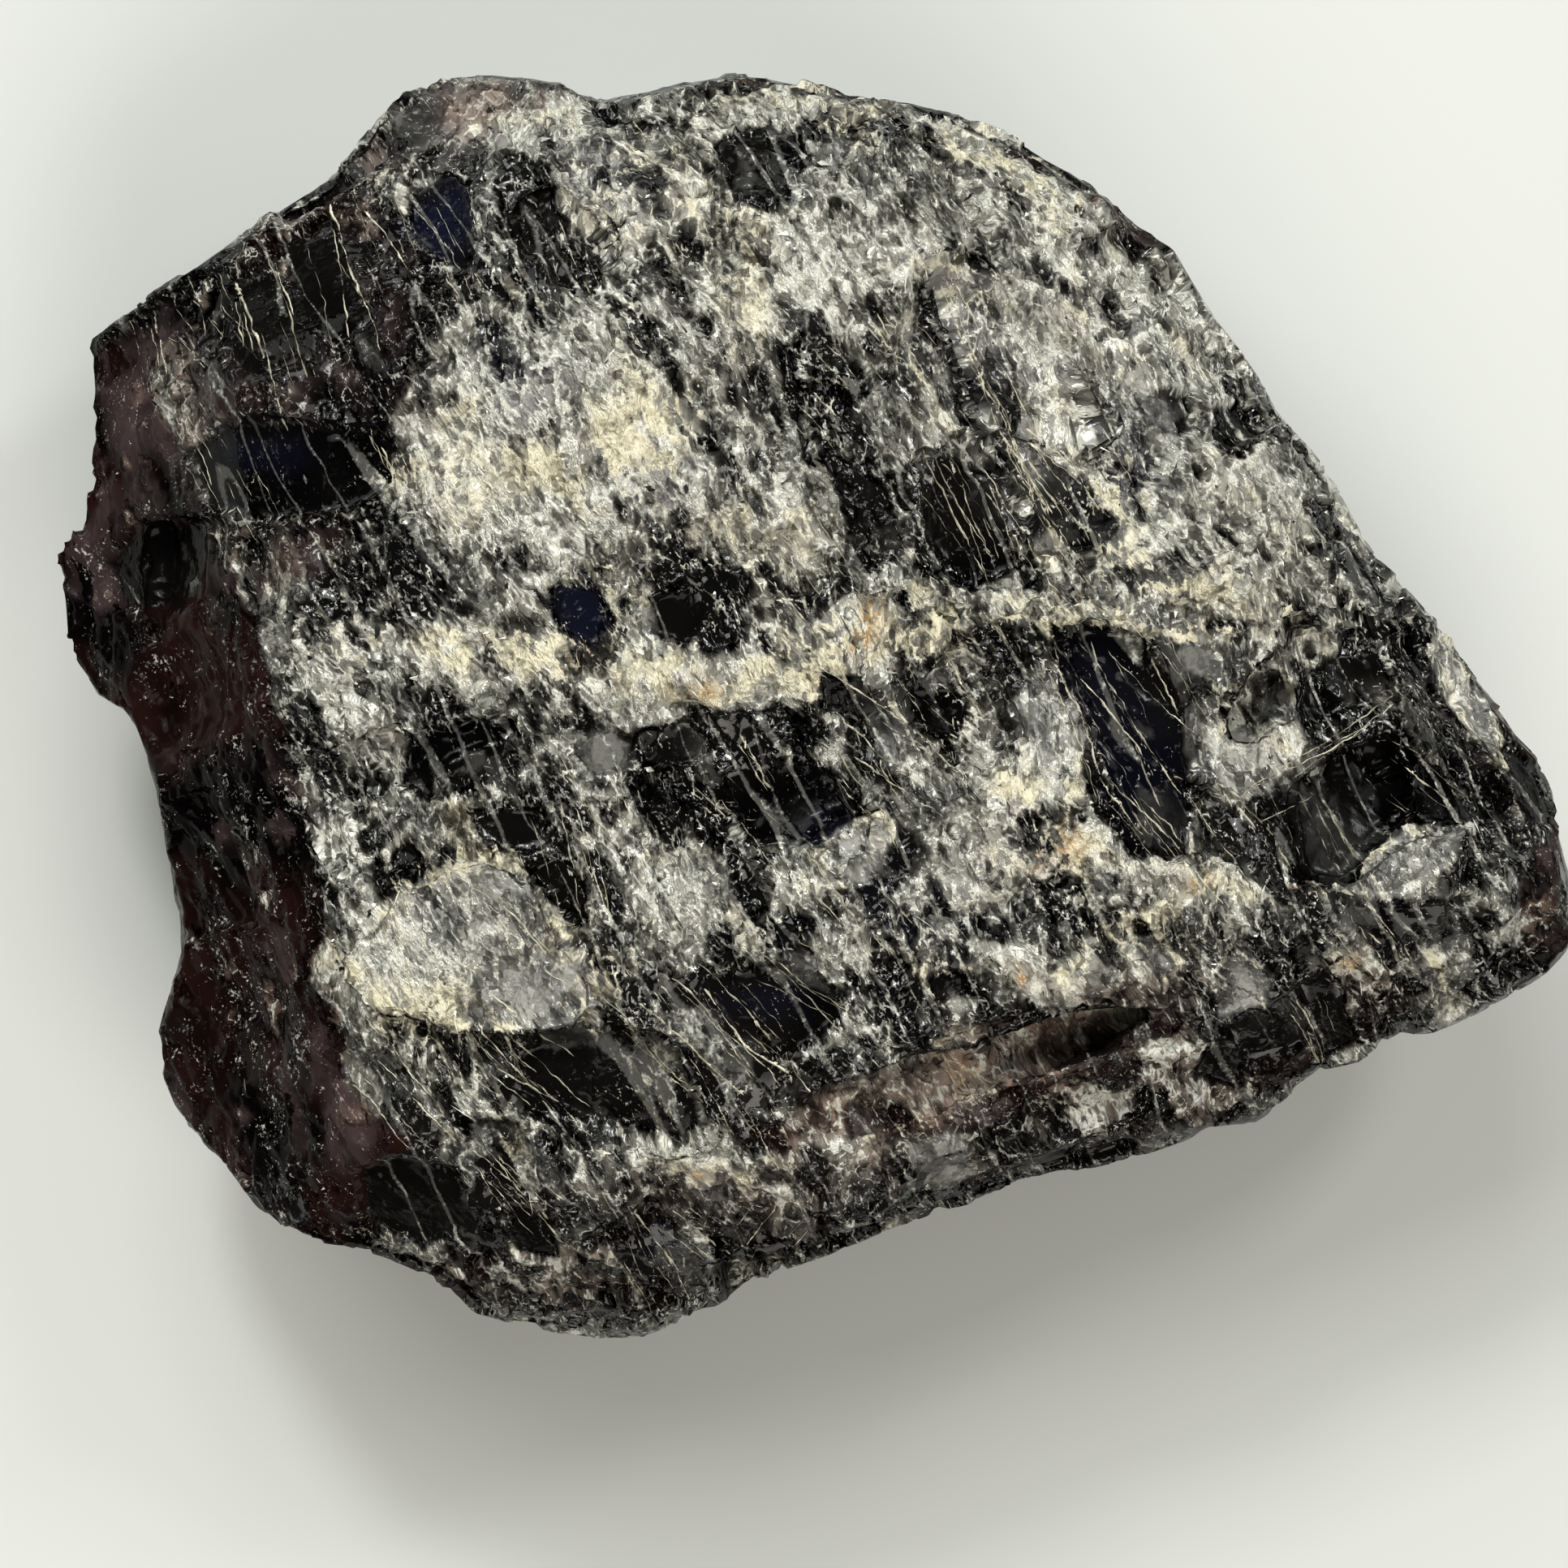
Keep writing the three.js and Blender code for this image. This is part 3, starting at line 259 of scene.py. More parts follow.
# Parting cracks that the picture shows: the points that each follows
CRACKS = [
    [(292, 335), (321, 408), (339, 455)], [(337, 321), (370, 402), (388, 473)],
    [(404, 241), (428, 308), (464, 388), (484, 446)], [(451, 263), (487, 308), (513, 348)],
    [(553, 304), (576, 344), (594, 379)], [(237, 375), (268, 402), (286, 433)],
    [(464, 540), (491, 580), (498, 625)], [(232, 518), (277, 576), (312, 638), (330, 670)],
    [(196, 388), (219, 469)], [(691, 277), (729, 353), (743, 379)],
    [(776, 147), (796, 179), (810, 214), (850, 230)], [(1154, 357), (1194, 446), (1220, 527), (1300, 647)],
    [(1073, 402), (1109, 455), (1149, 509)], [(997, 442), (1042, 500), (1078, 540)],
    [(1140, 540), (1180, 603), (1216, 696)], [(1212, 598), (1234, 647), (1247, 700)],
    [(1223, 514), (1261, 598), (1331, 705)], [(1261, 528), (1326, 593), (1354, 635)],
    [(1200, 570), (1237, 640), (1293, 724), (1326, 761)], [(1335, 789), (1387, 887), (1424, 948), (1452, 981)],
    [(1284, 808), (1321, 873), (1354, 957), (1405, 1028)], [(1359, 953), (1433, 1028), (1480, 1102)],
    [(1401, 794), (1447, 883)], [(1587, 971), (1643, 1079)], [(1503, 971), (1555, 1028), (1583, 1079)],
    [(1704, 934), (1760, 976), (1798, 1004)], [(904, 576), (971, 665), (1015, 754)],
    [(948, 723), (988, 768), (1015, 808)], [(1024, 875), (1082, 929), (1154, 964)],
    [(1029, 924), (1069, 982), (1104, 1054)], [(859, 960), (913, 1022), (957, 1063)],
    [(993, 1049), (1038, 1112), (1096, 1170)], [(703, 933), (734, 996), (765, 1045)],
    [(712, 982), (734, 1071), (756, 1125)], [(908, 902), (957, 973)], [(1091, 866), (1154, 929), (1176, 951)],
    [(1113, 808), (1136, 853), (1176, 897)], [(854, 1179), (913, 1241), (979, 1308), (1002, 1344)],
    [(868, 1214), (921, 1286), (971, 1321)], [(796, 1205), (841, 1277), (881, 1362), (912, 1420), (953, 1482)],
    [(756, 1241), (823, 1312), (877, 1362)], [(600, 1259), (658, 1321), (721, 1371)],
    [(939, 1174), (1002, 1214), (1042, 1241)], [(613, 1424), (667, 1482), (694, 1518)],
    [(779, 1473), (814, 1527), (850, 1598)], [(828, 1478), (890, 1531)], [(953, 1482), (912, 1531)],
    [(504, 1103), (536, 1161), (558, 1196)], [(554, 1067), (625, 1112), (700, 1196)],
    [(437, 1268), (513, 1339), (571, 1402)], [(576, 1254), (625, 1312), (700, 1357)],
    [(580, 1411), (634, 1451), (683, 1496)], [(1648, 1121), (1699, 1191)], [(1583, 1224), (1629, 1308)],
    [(1517, 990), (1583, 953), (1639, 915), (1709, 869)],
]
CRACK_STEP = 0.1  # how far apart the sections of a parting film are
SISTERS = 5  # fainter partings beside each one that is placed


def place(points):
    """Where pixels of the picture lie, in millimetres."""
    column, row = np.asarray(points, float).T
    return np.stack([(column - middle_column) * pixel, (middle_row - row) * pixel], axis=-1)


def smooth(values, start, end):
    """0 below start, 1 above end and a smooth rise between them."""
    t = np.clip((values - start) / (end - start), 0, 1)
    return t * t * (3 - 2 * t)


# Noise that gives the same values on every run


def scatter(i, j, k, seed):
    """A number from 0 to 1 for each corner of a grid."""
    h = (i * 374761393 + j * 668265263 + k * 1274126177 + seed * 974634777) & 0xFFFFFFFF
    h = ((h ^ (h >> 13)) * 1274126177) & 0xFFFFFFFF
    h = ((h ^ (h >> 16)) * 2246822519) & 0xFFFFFFFF
    return (h ^ (h >> 15)) / 0xFFFFFFFF


def waves(points, size, seed):
    """Smooth noise from -1 to 1."""
    q = points / size
    cell = np.floor(q).astype(np.int64)
    t = q - cell
    t = t * t * (3 - 2 * t)
    total = np.zeros(len(points))
    for corner in np.ndindex(2, 2, 2):
        weight = np.prod(np.where(corner, t, 1 - t), axis=1)
        total += weight * scatter(*(cell + corner).T, seed)
    return 2 * total - 1


def clouds(points, size, octaves, seed):
    """Noise from -1 to 1 whose waves get smaller and weaker by halves."""
    return sum(waves(points, size / 2**n, seed + n) / 2**n for n in range(octaves)) * 0.8


def wandering(points, size, reach, seed):
    """Points moved about by smooth noise."""
    return points + reach * np.stack([waves(points, size, seed + n) for n in range(points.shape[1])], axis=1)


def blocks(points, size, step, lean, seed):
    """How far the block that holds each point stands out, with a flat leaning face of its own, two random tones of
    the block from 0 to 1, and how far the point is from the block's edge."""
    q = points / np.array(size)
    cell = np.floor(q).astype(np.int64)
    nearest = np.full(len(points), np.inf)
    second = np.full(len(points), np.inf)
    rise = np.zeros(len(points))
    tones = np.zeros((2, len(points)))
    for shift in np.ndindex(3, 3, 3):
        here = cell + np.array(shift) - 1
        jitter = np.stack([scatter(*here.T, seed + n) for n in range(3)], axis=1)
        away = q - here - 0.5 - 0.8 * (jitter - 0.5)
        distance = np.abs(away).sum(axis=1)
        leaning = np.stack([scatter(*here.T, seed + n) - 0.5 for n in (4, 5, 6)], axis=1)
        height = step * (2 * scatter(*here.T, seed + 7) - 1) + lean * (leaning * away * size).sum(axis=1)
        closer = distance < nearest
        second = np.where(closer, nearest, np.minimum(second, distance))
        nearest[closer] = distance[closer]
        rise[closer] = height[closer]
        tones[:, closer] = [scatter(*here.T, seed + n)[closer] for n in (8, 9)]
    return rise, tones, (second - nearest) * size[0] / 2


def along_the_grain(points):
    """The points in a frame whose first axis crosses the steep partings."""
    c, s = math.cos(STEEP_PARTING - math.pi / 2), math.sin(STEEP_PARTING - math.pi / 2)
    x, y, z = points.T
    return np.stack([c * x + s * y, c * y - s * x, z], axis=1)


# What lies where on the broad face


def in_ellipses(spots, table, full=0.45, gone=1.35):
    """The strongest of a table's soft ellipses at each spot."""
    found = np.zeros(len(spots))
    for column, row, along, across, turn, strength in table:
        away = spots - place([(column, row)])
        c, s = math.cos(math.radians(turn)), math.sin(math.radians(turn))
        a = (c * away[:, 0] + s * away[:, 1]) / (along * pixel)
        b = (c * away[:, 1] - s * away[:, 0]) / (across * pixel)
        found = np.maximum(found, strength * (1 - smooth(np.hypot(a, b), full, gone)))
    return found


def line_distance(spots, corners):
    """The distance to a line through the corners, with a minus on its right."""
    points = place(corners)
    best = np.full(len(spots), np.inf)
    side = np.ones(len(spots))
    for start, end in zip(points[:-1], points[1:]):
        run = end - start
        away = spots - start
        t = np.clip(away @ run / (run @ run), 0, 1)
        distance = np.linalg.norm(away - t[:, None] * run, axis=1)
        closer = distance < best
        best[closer] = distance[closer]
        side[closer] = np.sign(run[0] * away[closer, 1] - run[1] * away[closer, 0])
    return best * side


def inwards(spots, corners):
    """How far each spot is inside a polygon, with a minus outside."""
    points = place(corners)
    inside = np.zeros(len(spots), bool)
    x, y = spots.T
    for (ax, ay), (bx, by) in zip(points, np.roll(points, -1, axis=0)):
        crossing = (ay > y) != (by > y)
        with np.errstate(divide="ignore", invalid="ignore"):
            inside ^= crossing & (x < (bx - ax) * (y - ay) / (by - ay) + ax)
    distance = np.abs(line_distance(spots, [*corners, corners[0]]))
    return np.where(inside, distance, -distance)


def in_polygon(spots, corners, soft):
    """1 inside a polygon and 0 outside it, with a soft edge."""
    return smooth(inwards(spots, corners), -soft, soft)


# The stone's mesh


def plain_copy(name, source):
    mesh = source.copy()
    obj = bpy.data.objects.new(name, mesh)
    bpy.context.scene.collection.objects.link(obj)
    return obj


def evaluated_mesh(obj):
    bpy.context.view_layer.update()
    depsgraph = bpy.context.evaluated_depsgraph_get()
    return bpy.data.meshes.new_from_object(obj.evaluated_get(depsgraph))


def even_mesh(obj):
    """Replaces the mesh by even squares, finer where it looks up, with the sharp edges kept."""
    form = bmesh.new()
    form.from_mesh(obj.data)
    bmesh.ops.remove_doubles(form, verts=form.verts, dist=1e-6)
    solid = BVHTree.FromBMesh(form)
    form.to_mesh(obj.data)
    form.free()
    remesh = obj.modifiers.new("even squares", "REMESH")
    remesh.mode = "VOXEL"
    remesh.voxel_size = STONE_VOXEL * MM
    remesh.adaptivity = 0
    even = evaluated_mesh(obj)
    obj.modifiers.clear()
    form = bmesh.new()
    form.from_mesh(even)
    form.normal_update()
    edges = {edge for face in form.faces if face.normal.z > FINE_FACE for edge in face.edges}
    bmesh.ops.subdivide_edges(form, edges=list(edges), cuts=1, use_grid_fill=True)
    bmesh.ops.triangulate(form, faces=form.faces)
    for corner in form.verts:
        corner.co = corner.co.lerp(solid.find_nearest(corner.co)[0], 0.85)
    form.to_mesh(even)
    form.free()
    even.materials.clear()
    obj.data = even


def read(mesh, what):
    values = np.empty(len(mesh.vertices) * 3, np.float32)
    if what == "normal":
        mesh.vertex_normals.foreach_get("vector", values)
    else:
        mesh.vertices.foreach_get("co", values)
    return values.reshape(-1, 3).astype(float)


def write_places(mesh, points):
    mesh.vertices.foreach_set("co", (points * MM).astype(np.float32).ravel())
    mesh.update()


def write_attributes(mesh, values):
    for name, numbers in values.items():
        kind = "FLOAT" if numbers.ndim == 1 else "FLOAT_VECTOR"
        held = mesh.attributes.new(name, kind, "POINT")
        held.data.foreach_set("value" if numbers.ndim == 1 else "vector", numbers.astype(np.float32).ravel())


def relief(points, spots, upward, sound):
    """How far the surface stands out of the solid, how broken the glass is at the edges of its blocks, how smooth
    the face of each block is, and how much light each block holds."""
    blocky = wandering(along_the_grain(points), 1.6, 0.3, 71)
    rise = sum(height * waves(points, size, seed) for size, height, seed in WAVES)
    broken, calm, light = np.zeros((3, len(points)))
    for share, smoothness, block in zip((0.25, 0.35, 0.3), (0.8, 1.0, 0.5), BLOCKS):
        height, (tone, other), edge = blocks(blocky, **block)
        rise = rise + height
        broken = broken + share * (tone - 0.5) + share * (np.exp(-((edge / 0.14) ** 2)) - 0.2)
        here = smoothness * smooth(other, 0.55, 0.65)
        light = np.where(here > calm, smooth(tone, 0.6, 0.95), light)
        calm = np.maximum(calm, here)
    rise = sound * rise
    for depth, half_width, corners in GROOVES:
        away = np.abs(line_distance(spots, corners))
        rise = rise - depth * upward * (1 - smooth(away, 0.1 * half_width, half_width))
    return rise, sound * broken, calm, light * calm


def shape_stone(mesh):
    """Breaks the faces into blocks, waves and hollows and notes what lies where."""
    points = read(mesh, "place") / MM
    normals = read(mesh, "normal")
    upward = smooth(normals[:, 2], 0.1, 0.5)
    side = 1 - np.abs(normals[:, 2])
    spots = wandering(wandering(points, 2.4, 0.4, 21), 0.8, 0.35, 24)[:, :2]
    straight = wandering(wandering(points, 1.4, 0.12, 27), 0.4, 0.12, 29)[:, :2]

    crushed = upward * in_ellipses(spots, CRUSHED)
    windows = 0.7 * upward * in_ellipses(spots, WINDOWS, 0.6, 1.2) + (1 - upward) * smooth(clouds(points, 4, 2, 35), 0.05, 0.5)
    plates, edge = np.zeros((2, len(points)))
    for strength, corners in PLATES:
        inside = inwards(straight, corners)
        plates = np.maximum(plates, upward * strength * smooth(inside, -0.1, 0.1))
        # A pale rim along the edge of each plate: partly broken glass, partly a painted edge highlight
        edge = np.maximum(edge, upward * np.exp(-((inside / 0.2) ** 2)))
    brown_and_shade = np.zeros(len(points))
    for strength, corners in BROWN_AND_SHADE:
        brown_and_shade = np.maximum(brown_and_shade, strength * in_polygon(spots, corners, 1.0))
    # Patches of the side faces are red-brown as well, partly skin and partly painted shade
    brown_and_shade = np.maximum(brown_and_shade, 0.6 * (1 - upward) * smooth(waves(points, 9, 51), -0.3, 0.5))

    cream = np.zeros(len(points))
    for half_width, strength, corners in VEINS:
        away = np.abs(line_distance(spots, corners)) / pixel
        cream = np.maximum(cream, upward * strength * (1 - smooth(away, 0.1 * half_width, 2.4 * half_width)))
    cream = cream * smooth(clouds(points, 0.8, 3, 44), -0.5, 0.3)
    rust = np.zeros(len(points))
    for column, row, reach in RUST:
        away = np.linalg.norm(spots - place([(column, row)]), axis=1) / pixel
        rust = np.maximum(rust, upward * (1 - smooth(away, 0.1 * reach, 1.2 * reach)))

    deep, rim_and_highlight = np.zeros(len(points)), np.zeros(len(points))
    for depth, slope, clear, corners in HOLLOWS:
        inside = inwards(straight, corners)
        deep = np.maximum(deep, depth * upward * smooth(inside, -slope, slope))
        windows = np.maximum(windows, clear * upward * smooth(inside, -0.1, 0.4))
        # A pale rim around each hollow: partly broken glass, partly a painted edge highlight
        rim_and_highlight = np.maximum(rim_and_highlight, upward * np.exp(-(((inside + 0.1) / 0.16) ** 2)))

    windows = windows * smooth(clouds(points, 1.1, 3, 63) + 1.2 * windows, -0.3, 0.3)
    crushed = crushed * (0.8 + 0.3 * waves(points, 1.2, 39))
    rise, broken, calm, light = relief(points, spots, upward, 1 - 0.6 * plates - 0.5 * brown_and_shade - 0.8 * windows)
    calm = calm * (1 - 0.6 * crushed)
    light = light * (1 - windows) * (1 - brown_and_shade)
    plates = np.maximum(plates, 0.55 * light * upward * smooth(clouds(points, 3, 2, 58), -0.4, 0.3))
    rise = rise - deep
    streaks = clouds(along_the_grain(wandering(points, 3, 0.4, 34)) / STREAK, 1, 3, 31)
    fracture = 0.05 + 0.78 * crushed + 0.36 * cream + broken + 0.35 * streaks + 0.1 * clouds(points, 1.4, 2, 38)
    # Both rims are made paler, partly as broken glass and partly as painted edge highlights
    rim_and_highlight = 0.2 * rim_and_highlight + 0.3 * edge
    # The red-brown sides are less broken and so darker, partly as painted shade
    fracture = fracture + rim_and_highlight * (1 + waves(points, 1.0, 46)) - 0.8 * windows - 0.45 * smooth(brown_and_shade, 0.25, 0.9)
    # Side faces turned towards +y, where the main window lamps stand, are made paler: painted light
    fracture = fracture + 0.3 * (1 - upward) * smooth(normals[:, 1], 0, 0.6)
    fracture = fracture + 0.8 * smooth(brown_and_shade, 0.6, 0.9) * clouds(points, 0.9, 3, 66)
    fracture = fracture + 0.3 * (smooth(fracture, 0.15, 0.75) - 0.5)
    tint = 0.1 + 0.75 * cream + 0.5 * clouds(points, 2.2, 3, 41) + 0.1 * crushed + rim_and_highlight - 0.3 * brown_and_shade

    ripple = np.zeros(len(points))
    phase = np.zeros(len(points))
    for middle, reach, apart in RIPPLES:
        away = np.linalg.norm(straight - place([middle]), axis=1)
        here = upward * (1 - smooth(away, 0.5 * reach, reach))
        phase = np.where(here > ripple, 2 * math.pi * away / apart, phase)
        ripple = np.maximum(ripple, here)

    rise = rise - 0.2 + 0.14 * side + 0.1 * np.clip(fracture, 0, 1) * waves(points, 0.5, 81)
    rise = np.minimum(rise, MOST_RISE) * np.where(points[:, 2] < 0.6, 0.15, 1)
    rise[(points[:, 2] < 0.15) & (normals[:, 2] < -0.9)] = 0
    moved = np.clip(points + normals * rise[:, None], low_corner + (0.01, 0.01, 0), high_corner - (0.01, 0.01, 0))
    write_places(mesh, moved)

    room = np.min(np.concatenate([moved - low_corner, high_corner - moved], axis=1), axis=1)
    sound = 1 - 0.9 * windows - 0.5 * plates - 0.7 * brown_and_shade
    flakes = sound * (0.03 + smooth(fracture, 0.15, 0.9)) * (room > 0.6) * smooth(normals[:, 2], -0.1, 0.4)
    write_attributes(mesh, {
        "fracture": fracture,
        "tint": tint,
        "rust": rust,
        "blue": upward * in_ellipses(spots, BLUE, 0.3, 1.3),
        "plate": plates,
        "calm": calm,
        "brown_and_shade": brown_and_shade * (1 - 0.8 * windows) * smooth(clouds(points, 2.4, 3, 52), -1.1, -0.4),
        "clear": windows,
        "threads": clouds(points, 1.8, 3, 67) - 0.8 * brown_and_shade - 0.7 * windows,
        "ripple": ripple,
        "phase": phase,
        "smoke": np.maximum(
            0.5 * smooth(clouds(points, 2.2, 4, 55), -0.1, 0.7),
            upward * in_ellipses(spots, SMOKE, 0.3, 1.3) * smooth(clouds(points, 2.6, 3, 61), -0.7, 0.1),
        ) * (1 - 0.75 * windows),
        "depth": smooth(clouds(points, 4, 3, 48) + 0.4 * windows, -0.1, 0.6),
        "flakes": flakes,
        "grain": along_the_grain(wandering(wandering(points, 4, 0.4, 94), 0.8, 0.1, 91)),
    })


# Thin pale films where partings meet the surface


def film_lines():
    """The lines of the partings in millimetres, with the width and the reach of the gaps of each."""
    draw = np.random.default_rng(17)
    lines = []
    for corners in CRACKS:
        line = place(corners)
        lines.append((line, draw.uniform(0.08, 0.14), draw.uniform(-0.1, 0.3)))
        run = line[-1] - line[0]
        length = np.linalg.norm(run)
        across = np.array([-run[1], run[0]]) / length
        for _ in range(SISTERS):
            shift = draw.normal(0, 0.9) * across + draw.normal(0, 0.8) * run / length
            share = draw.uniform(0.3, 1.1)
            start = line[0] + run * draw.uniform(min(0, 1 - share), max(0, 1 - share)) + shift
            turn = math.radians(draw.normal(0, 4))
            end = start + share * (run * math.cos(turn) + length * across * math.sin(turn))
            lines.append((np.array([start, end]), draw.uniform(0.05, 0.11), draw.uniform(-0.1, 0.5)))
        for _ in range(3):
            start = line[0] + run * draw.uniform(0.1, 0.9) + across * draw.normal(0, 0.05)
            turn = math.radians(draw.choice([-1, 1]) * draw.uniform(15, 60))
            spur = (run * math.cos(turn) + length * across * math.sin(turn)) / length * draw.uniform(0.2, 0.7)
            lines.append((np.array([start, start + spur]), draw.uniform(0.06, 0.12), draw.uniform(-0.2, 0.1)))
    return lines


def even_steps(line, step):
    """Points along a line at even steps."""
    lengths = np.concatenate([[0], np.cumsum(np.linalg.norm(np.diff(line, axis=0), axis=1))])
    at = np.linspace(0, lengths[-1], max(4, int(lengths[-1] / step)))
    return np.stack([np.interp(at, lengths, line[:, n]) for n in range(2)], axis=1)


def make_films(stone):
    """Closed three-sided ridges that lie on the stone along the partings."""
    surface = BVHTree.FromPolygons([v.co / MM for v in stone.data.vertices], [p.vertices for p in stone.data.polygons])
    corners, faces, tints = [], [], []
    for number, (line, width, gap) in enumerate(film_lines()):
        path = even_steps(line, CRACK_STEP)
        flat = np.concatenate([path, np.full((len(path), 1), number)], axis=1)
        for size, reach, seed in ((0.16, 0.03, 111), (0.4, 0.06, 101), (1.5, 0.12, 103), (4.0, 0.2, 108)):
            path = path + reach * np.stack([waves(flat, size, seed), waves(flat, size, seed + 1)], axis=1)
        widths = width * (0.85 + 0.8 * waves(flat, 0.3, 105) - gap - 0.4 * waves(flat, 1.3, 106))
        widths[[0, -1]] = 0
        tint = scatter(number, 3, 5, 107)
        run = []
        for n, ((x, y), wide) in enumerate(zip(path, widths)):
            hit, normal, _, _ = surface.ray_cast(Vector((x, y, top_height + 5)), Vector((0, 0, -1)))
            sound = hit is not None and normal.z > 0.3 and wide > 0.012
            jump = bool(run) and hit is not None and abs(hit.z - run[-1][0].z) > 0.35
            if sound and not jump:
                run.append((hit, normal, wide))
            if (not sound or jump or n == len(path) - 1) and run:
                add_ridge(run, corners, faces)
                tints += [tint] * (len(corners) - len(tints))
                run = [(hit, normal, wide)] if sound and jump else []
    mesh = bpy.data.meshes.new("parting_films")
    mesh.from_pydata([c * MM for c in corners], [], faces)
    write_attributes(mesh, {"tint": np.array(tints)})
    films = bpy.data.objects.new("parting_films", mesh)
    bpy.context.scene.collection.objects.link(films)
    mesh.materials.append(film_finish())
    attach(films, "root")


def add_ridge(run, corners, faces):
    """A ridge with a three-sided section that ends in points, if the run is long enough."""
    if len(run) < 4:
        return
    first = len(corners)
    corners.append(run[0][0])
    for before, (spot, normal, wide), after in zip(run, run[1:], run[2:]):
        along = (after[0] - before[0]).normalized()
        normal = (normal + Vector((0, 0, 1))).normalized()
        across = along.cross(normal).normalized() * (wide / 2)
        crest = spot + normal * min(0.45 * wide, 0.06)
        crest.z = min(crest.z, top_height)
        foot = -0.05 * normal
        corners += [spot + across + foot, crest, spot - across + foot]
    last = len(corners)
    corners.append(run[-1][0])
    sections = range(first + 1, last - 3, 3)
    for a in sections:
        faces += [(a + i, a + 3 + i, a + 3 + (i + 1) % 3, a + (i + 1) % 3) for i in range(3)]
    faces += [(first, first + 1 + i, first + 1 + (i + 1) % 3) for i in range(3)]
    faces += [(last, last - 3 + (i + 1) % 3, last - 3 + i) for i in range(3)]


# Small flakes that the breaking left on the face


# What is scattered: how many to a square millimetre, the half length, the width and thickness as a share of it, how
# far it may swing from the grain and lean, in radians, and the seed
FLAKES = {"Number": 1.3, "Length": 0.36, "Width": 0.4, "Thickness": 0.2, "Swing": 1.5, "Lean": 0.4, "Seed": 4}
# The threads are pale needles that stand for small glints: painted highlights
GLINT_THREADS = {"Number": 1.2, "Length": 0.5, "Width": 0.06, "Thickness": 0.09, "Swing": 0.55, "Lean": 0.06, "Seed": 9}


def scatter_tree(kind):
    """Scatters sharp little pieces over a mesh by its attribute flakes."""
    tree = bpy.data.node_groups.new(kind, "GeometryNodeTree")
    sockets = tree.interface
    sockets.new_socket("Stone", in_out="INPUT", socket_type="NodeSocketGeometry")
    for name, value in FLAKES.items():
        sort = "NodeSocketInt" if isinstance(value, int) else "NodeSocketFloat"
        sockets.new_socket(name, in_out="INPUT", socket_type=sort)
    sockets.new_socket("Finish", in_out="INPUT", socket_type="NodeSocketMaterial")
    sockets.new_socket("Pieces", in_out="OUTPUT", socket_type="NodeSocketGeometry")
    given = tree.nodes.new("NodeGroupInput").outputs

    def add(kind, settings, inputs, output=0):
        node = tree.nodes.new(kind)
        for name, value in settings.items():
            setattr(node, name, value)
        for name, value in inputs.items():
            if isinstance(value, bpy.types.NodeSocket):
                tree.links.new(value, node.inputs[name])
            else:
                node.inputs[name].default_value = value
        return node.outputs[output]

    def times(a, b):
        return add("ShaderNodeMath", {"operation": "MULTIPLY"}, {0: a, 1: b})

    def random(smallest, largest, seed):
        if isinstance(smallest, tuple):
            return add("FunctionNodeRandomValue", {"data_type": "FLOAT_VECTOR"}, {0: smallest, 1: largest, "Seed": seed})
        return add("FunctionNodeRandomValue", {"data_type": "FLOAT"}, {2: smallest, 3: largest, "Seed": seed}, 1)

    def along(x, y, z):
        return add("ShaderNodeCombineXYZ", {}, {0: x, 1: y, 2: z})

    def scaled(vector, other):
        return add("ShaderNodeVectorMath", {"operation": "MULTIPLY"}, {0: vector, 1: other})

    share = add("GeometryNodeInputNamedAttribute", {"data_type": "FLOAT"}, {"Name": "flakes"})
    dense = times(times(share, given["Number"]), 1 / MM**2)
    points = add("GeometryNodeDistributePointsOnFaces", {"distribute_method": "RANDOM"},
                 {"Mesh": given["Stone"], "Density": dense, "Seed": given["Seed"]})
    upright = points.node.outputs["Rotation"]
    grain = (math.cos(STEEP_PARTING), math.sin(STEEP_PARTING), 0.0)
    upright = add("FunctionNodeAlignRotationToVector", {"axis": "X", "pivot_axis": "Z"},
                  {"Rotation": upright, "Vector": grain})
    swing = scaled(random((-1.0, -1.0, -1.0), (1.0, 1.0, 1.0), 1), along(given["Lean"], given["Lean"], given["Swing"]))
    turn = add("FunctionNodeEulerToRotation", {}, {0: swing})
    turn = add("FunctionNodeRotateRotation", {"rotation_space": "LOCAL"}, {0: upright, 1: turn})
    shard = add("GeometryNodeMeshCone", {"fill_type": "NGON"},
                {"Vertices": 4, "Radius Top": 0.0, "Radius Bottom": 1.0, "Depth": 1.0})
    shard = add("GeometryNodeTransform", {}, {"Geometry": shard, "Translation": (0.0, 0.0, -0.3)})
    small = add("ShaderNodeMath", {"operation": "POWER"}, {0: random(0.55, 1.0, 5), 1: 3.0})
    length = times(times(small, given["Length"]), MM)
    size = scaled(along(length, times(length, given["Width"]), times(length, given["Thickness"])),
                  random((0.8, 0.6, 0.6), (1.2, 1.6, 1.4), 2))
    placed = add("GeometryNodeInstanceOnPoints", {},
                 {"Points": points, "Instance": shard, "Rotation": turn, "Scale": size})
    toned = add("GeometryNodeStoreNamedAttribute", {"data_type": "FLOAT", "domain": "INSTANCE"},
                {"Geometry": placed, "Name": "tone", "Value": random(0.0, 1.0, 3)})
    real = add("GeometryNodeRealizeInstances", {}, {"Geometry": toned})
    finished = add("GeometryNodeSetMaterial", {}, {"Geometry": real, "Material": given["Finish"]})
    tree.links.new(finished, tree.nodes.new("NodeGroupOutput").inputs[0])
    return tree


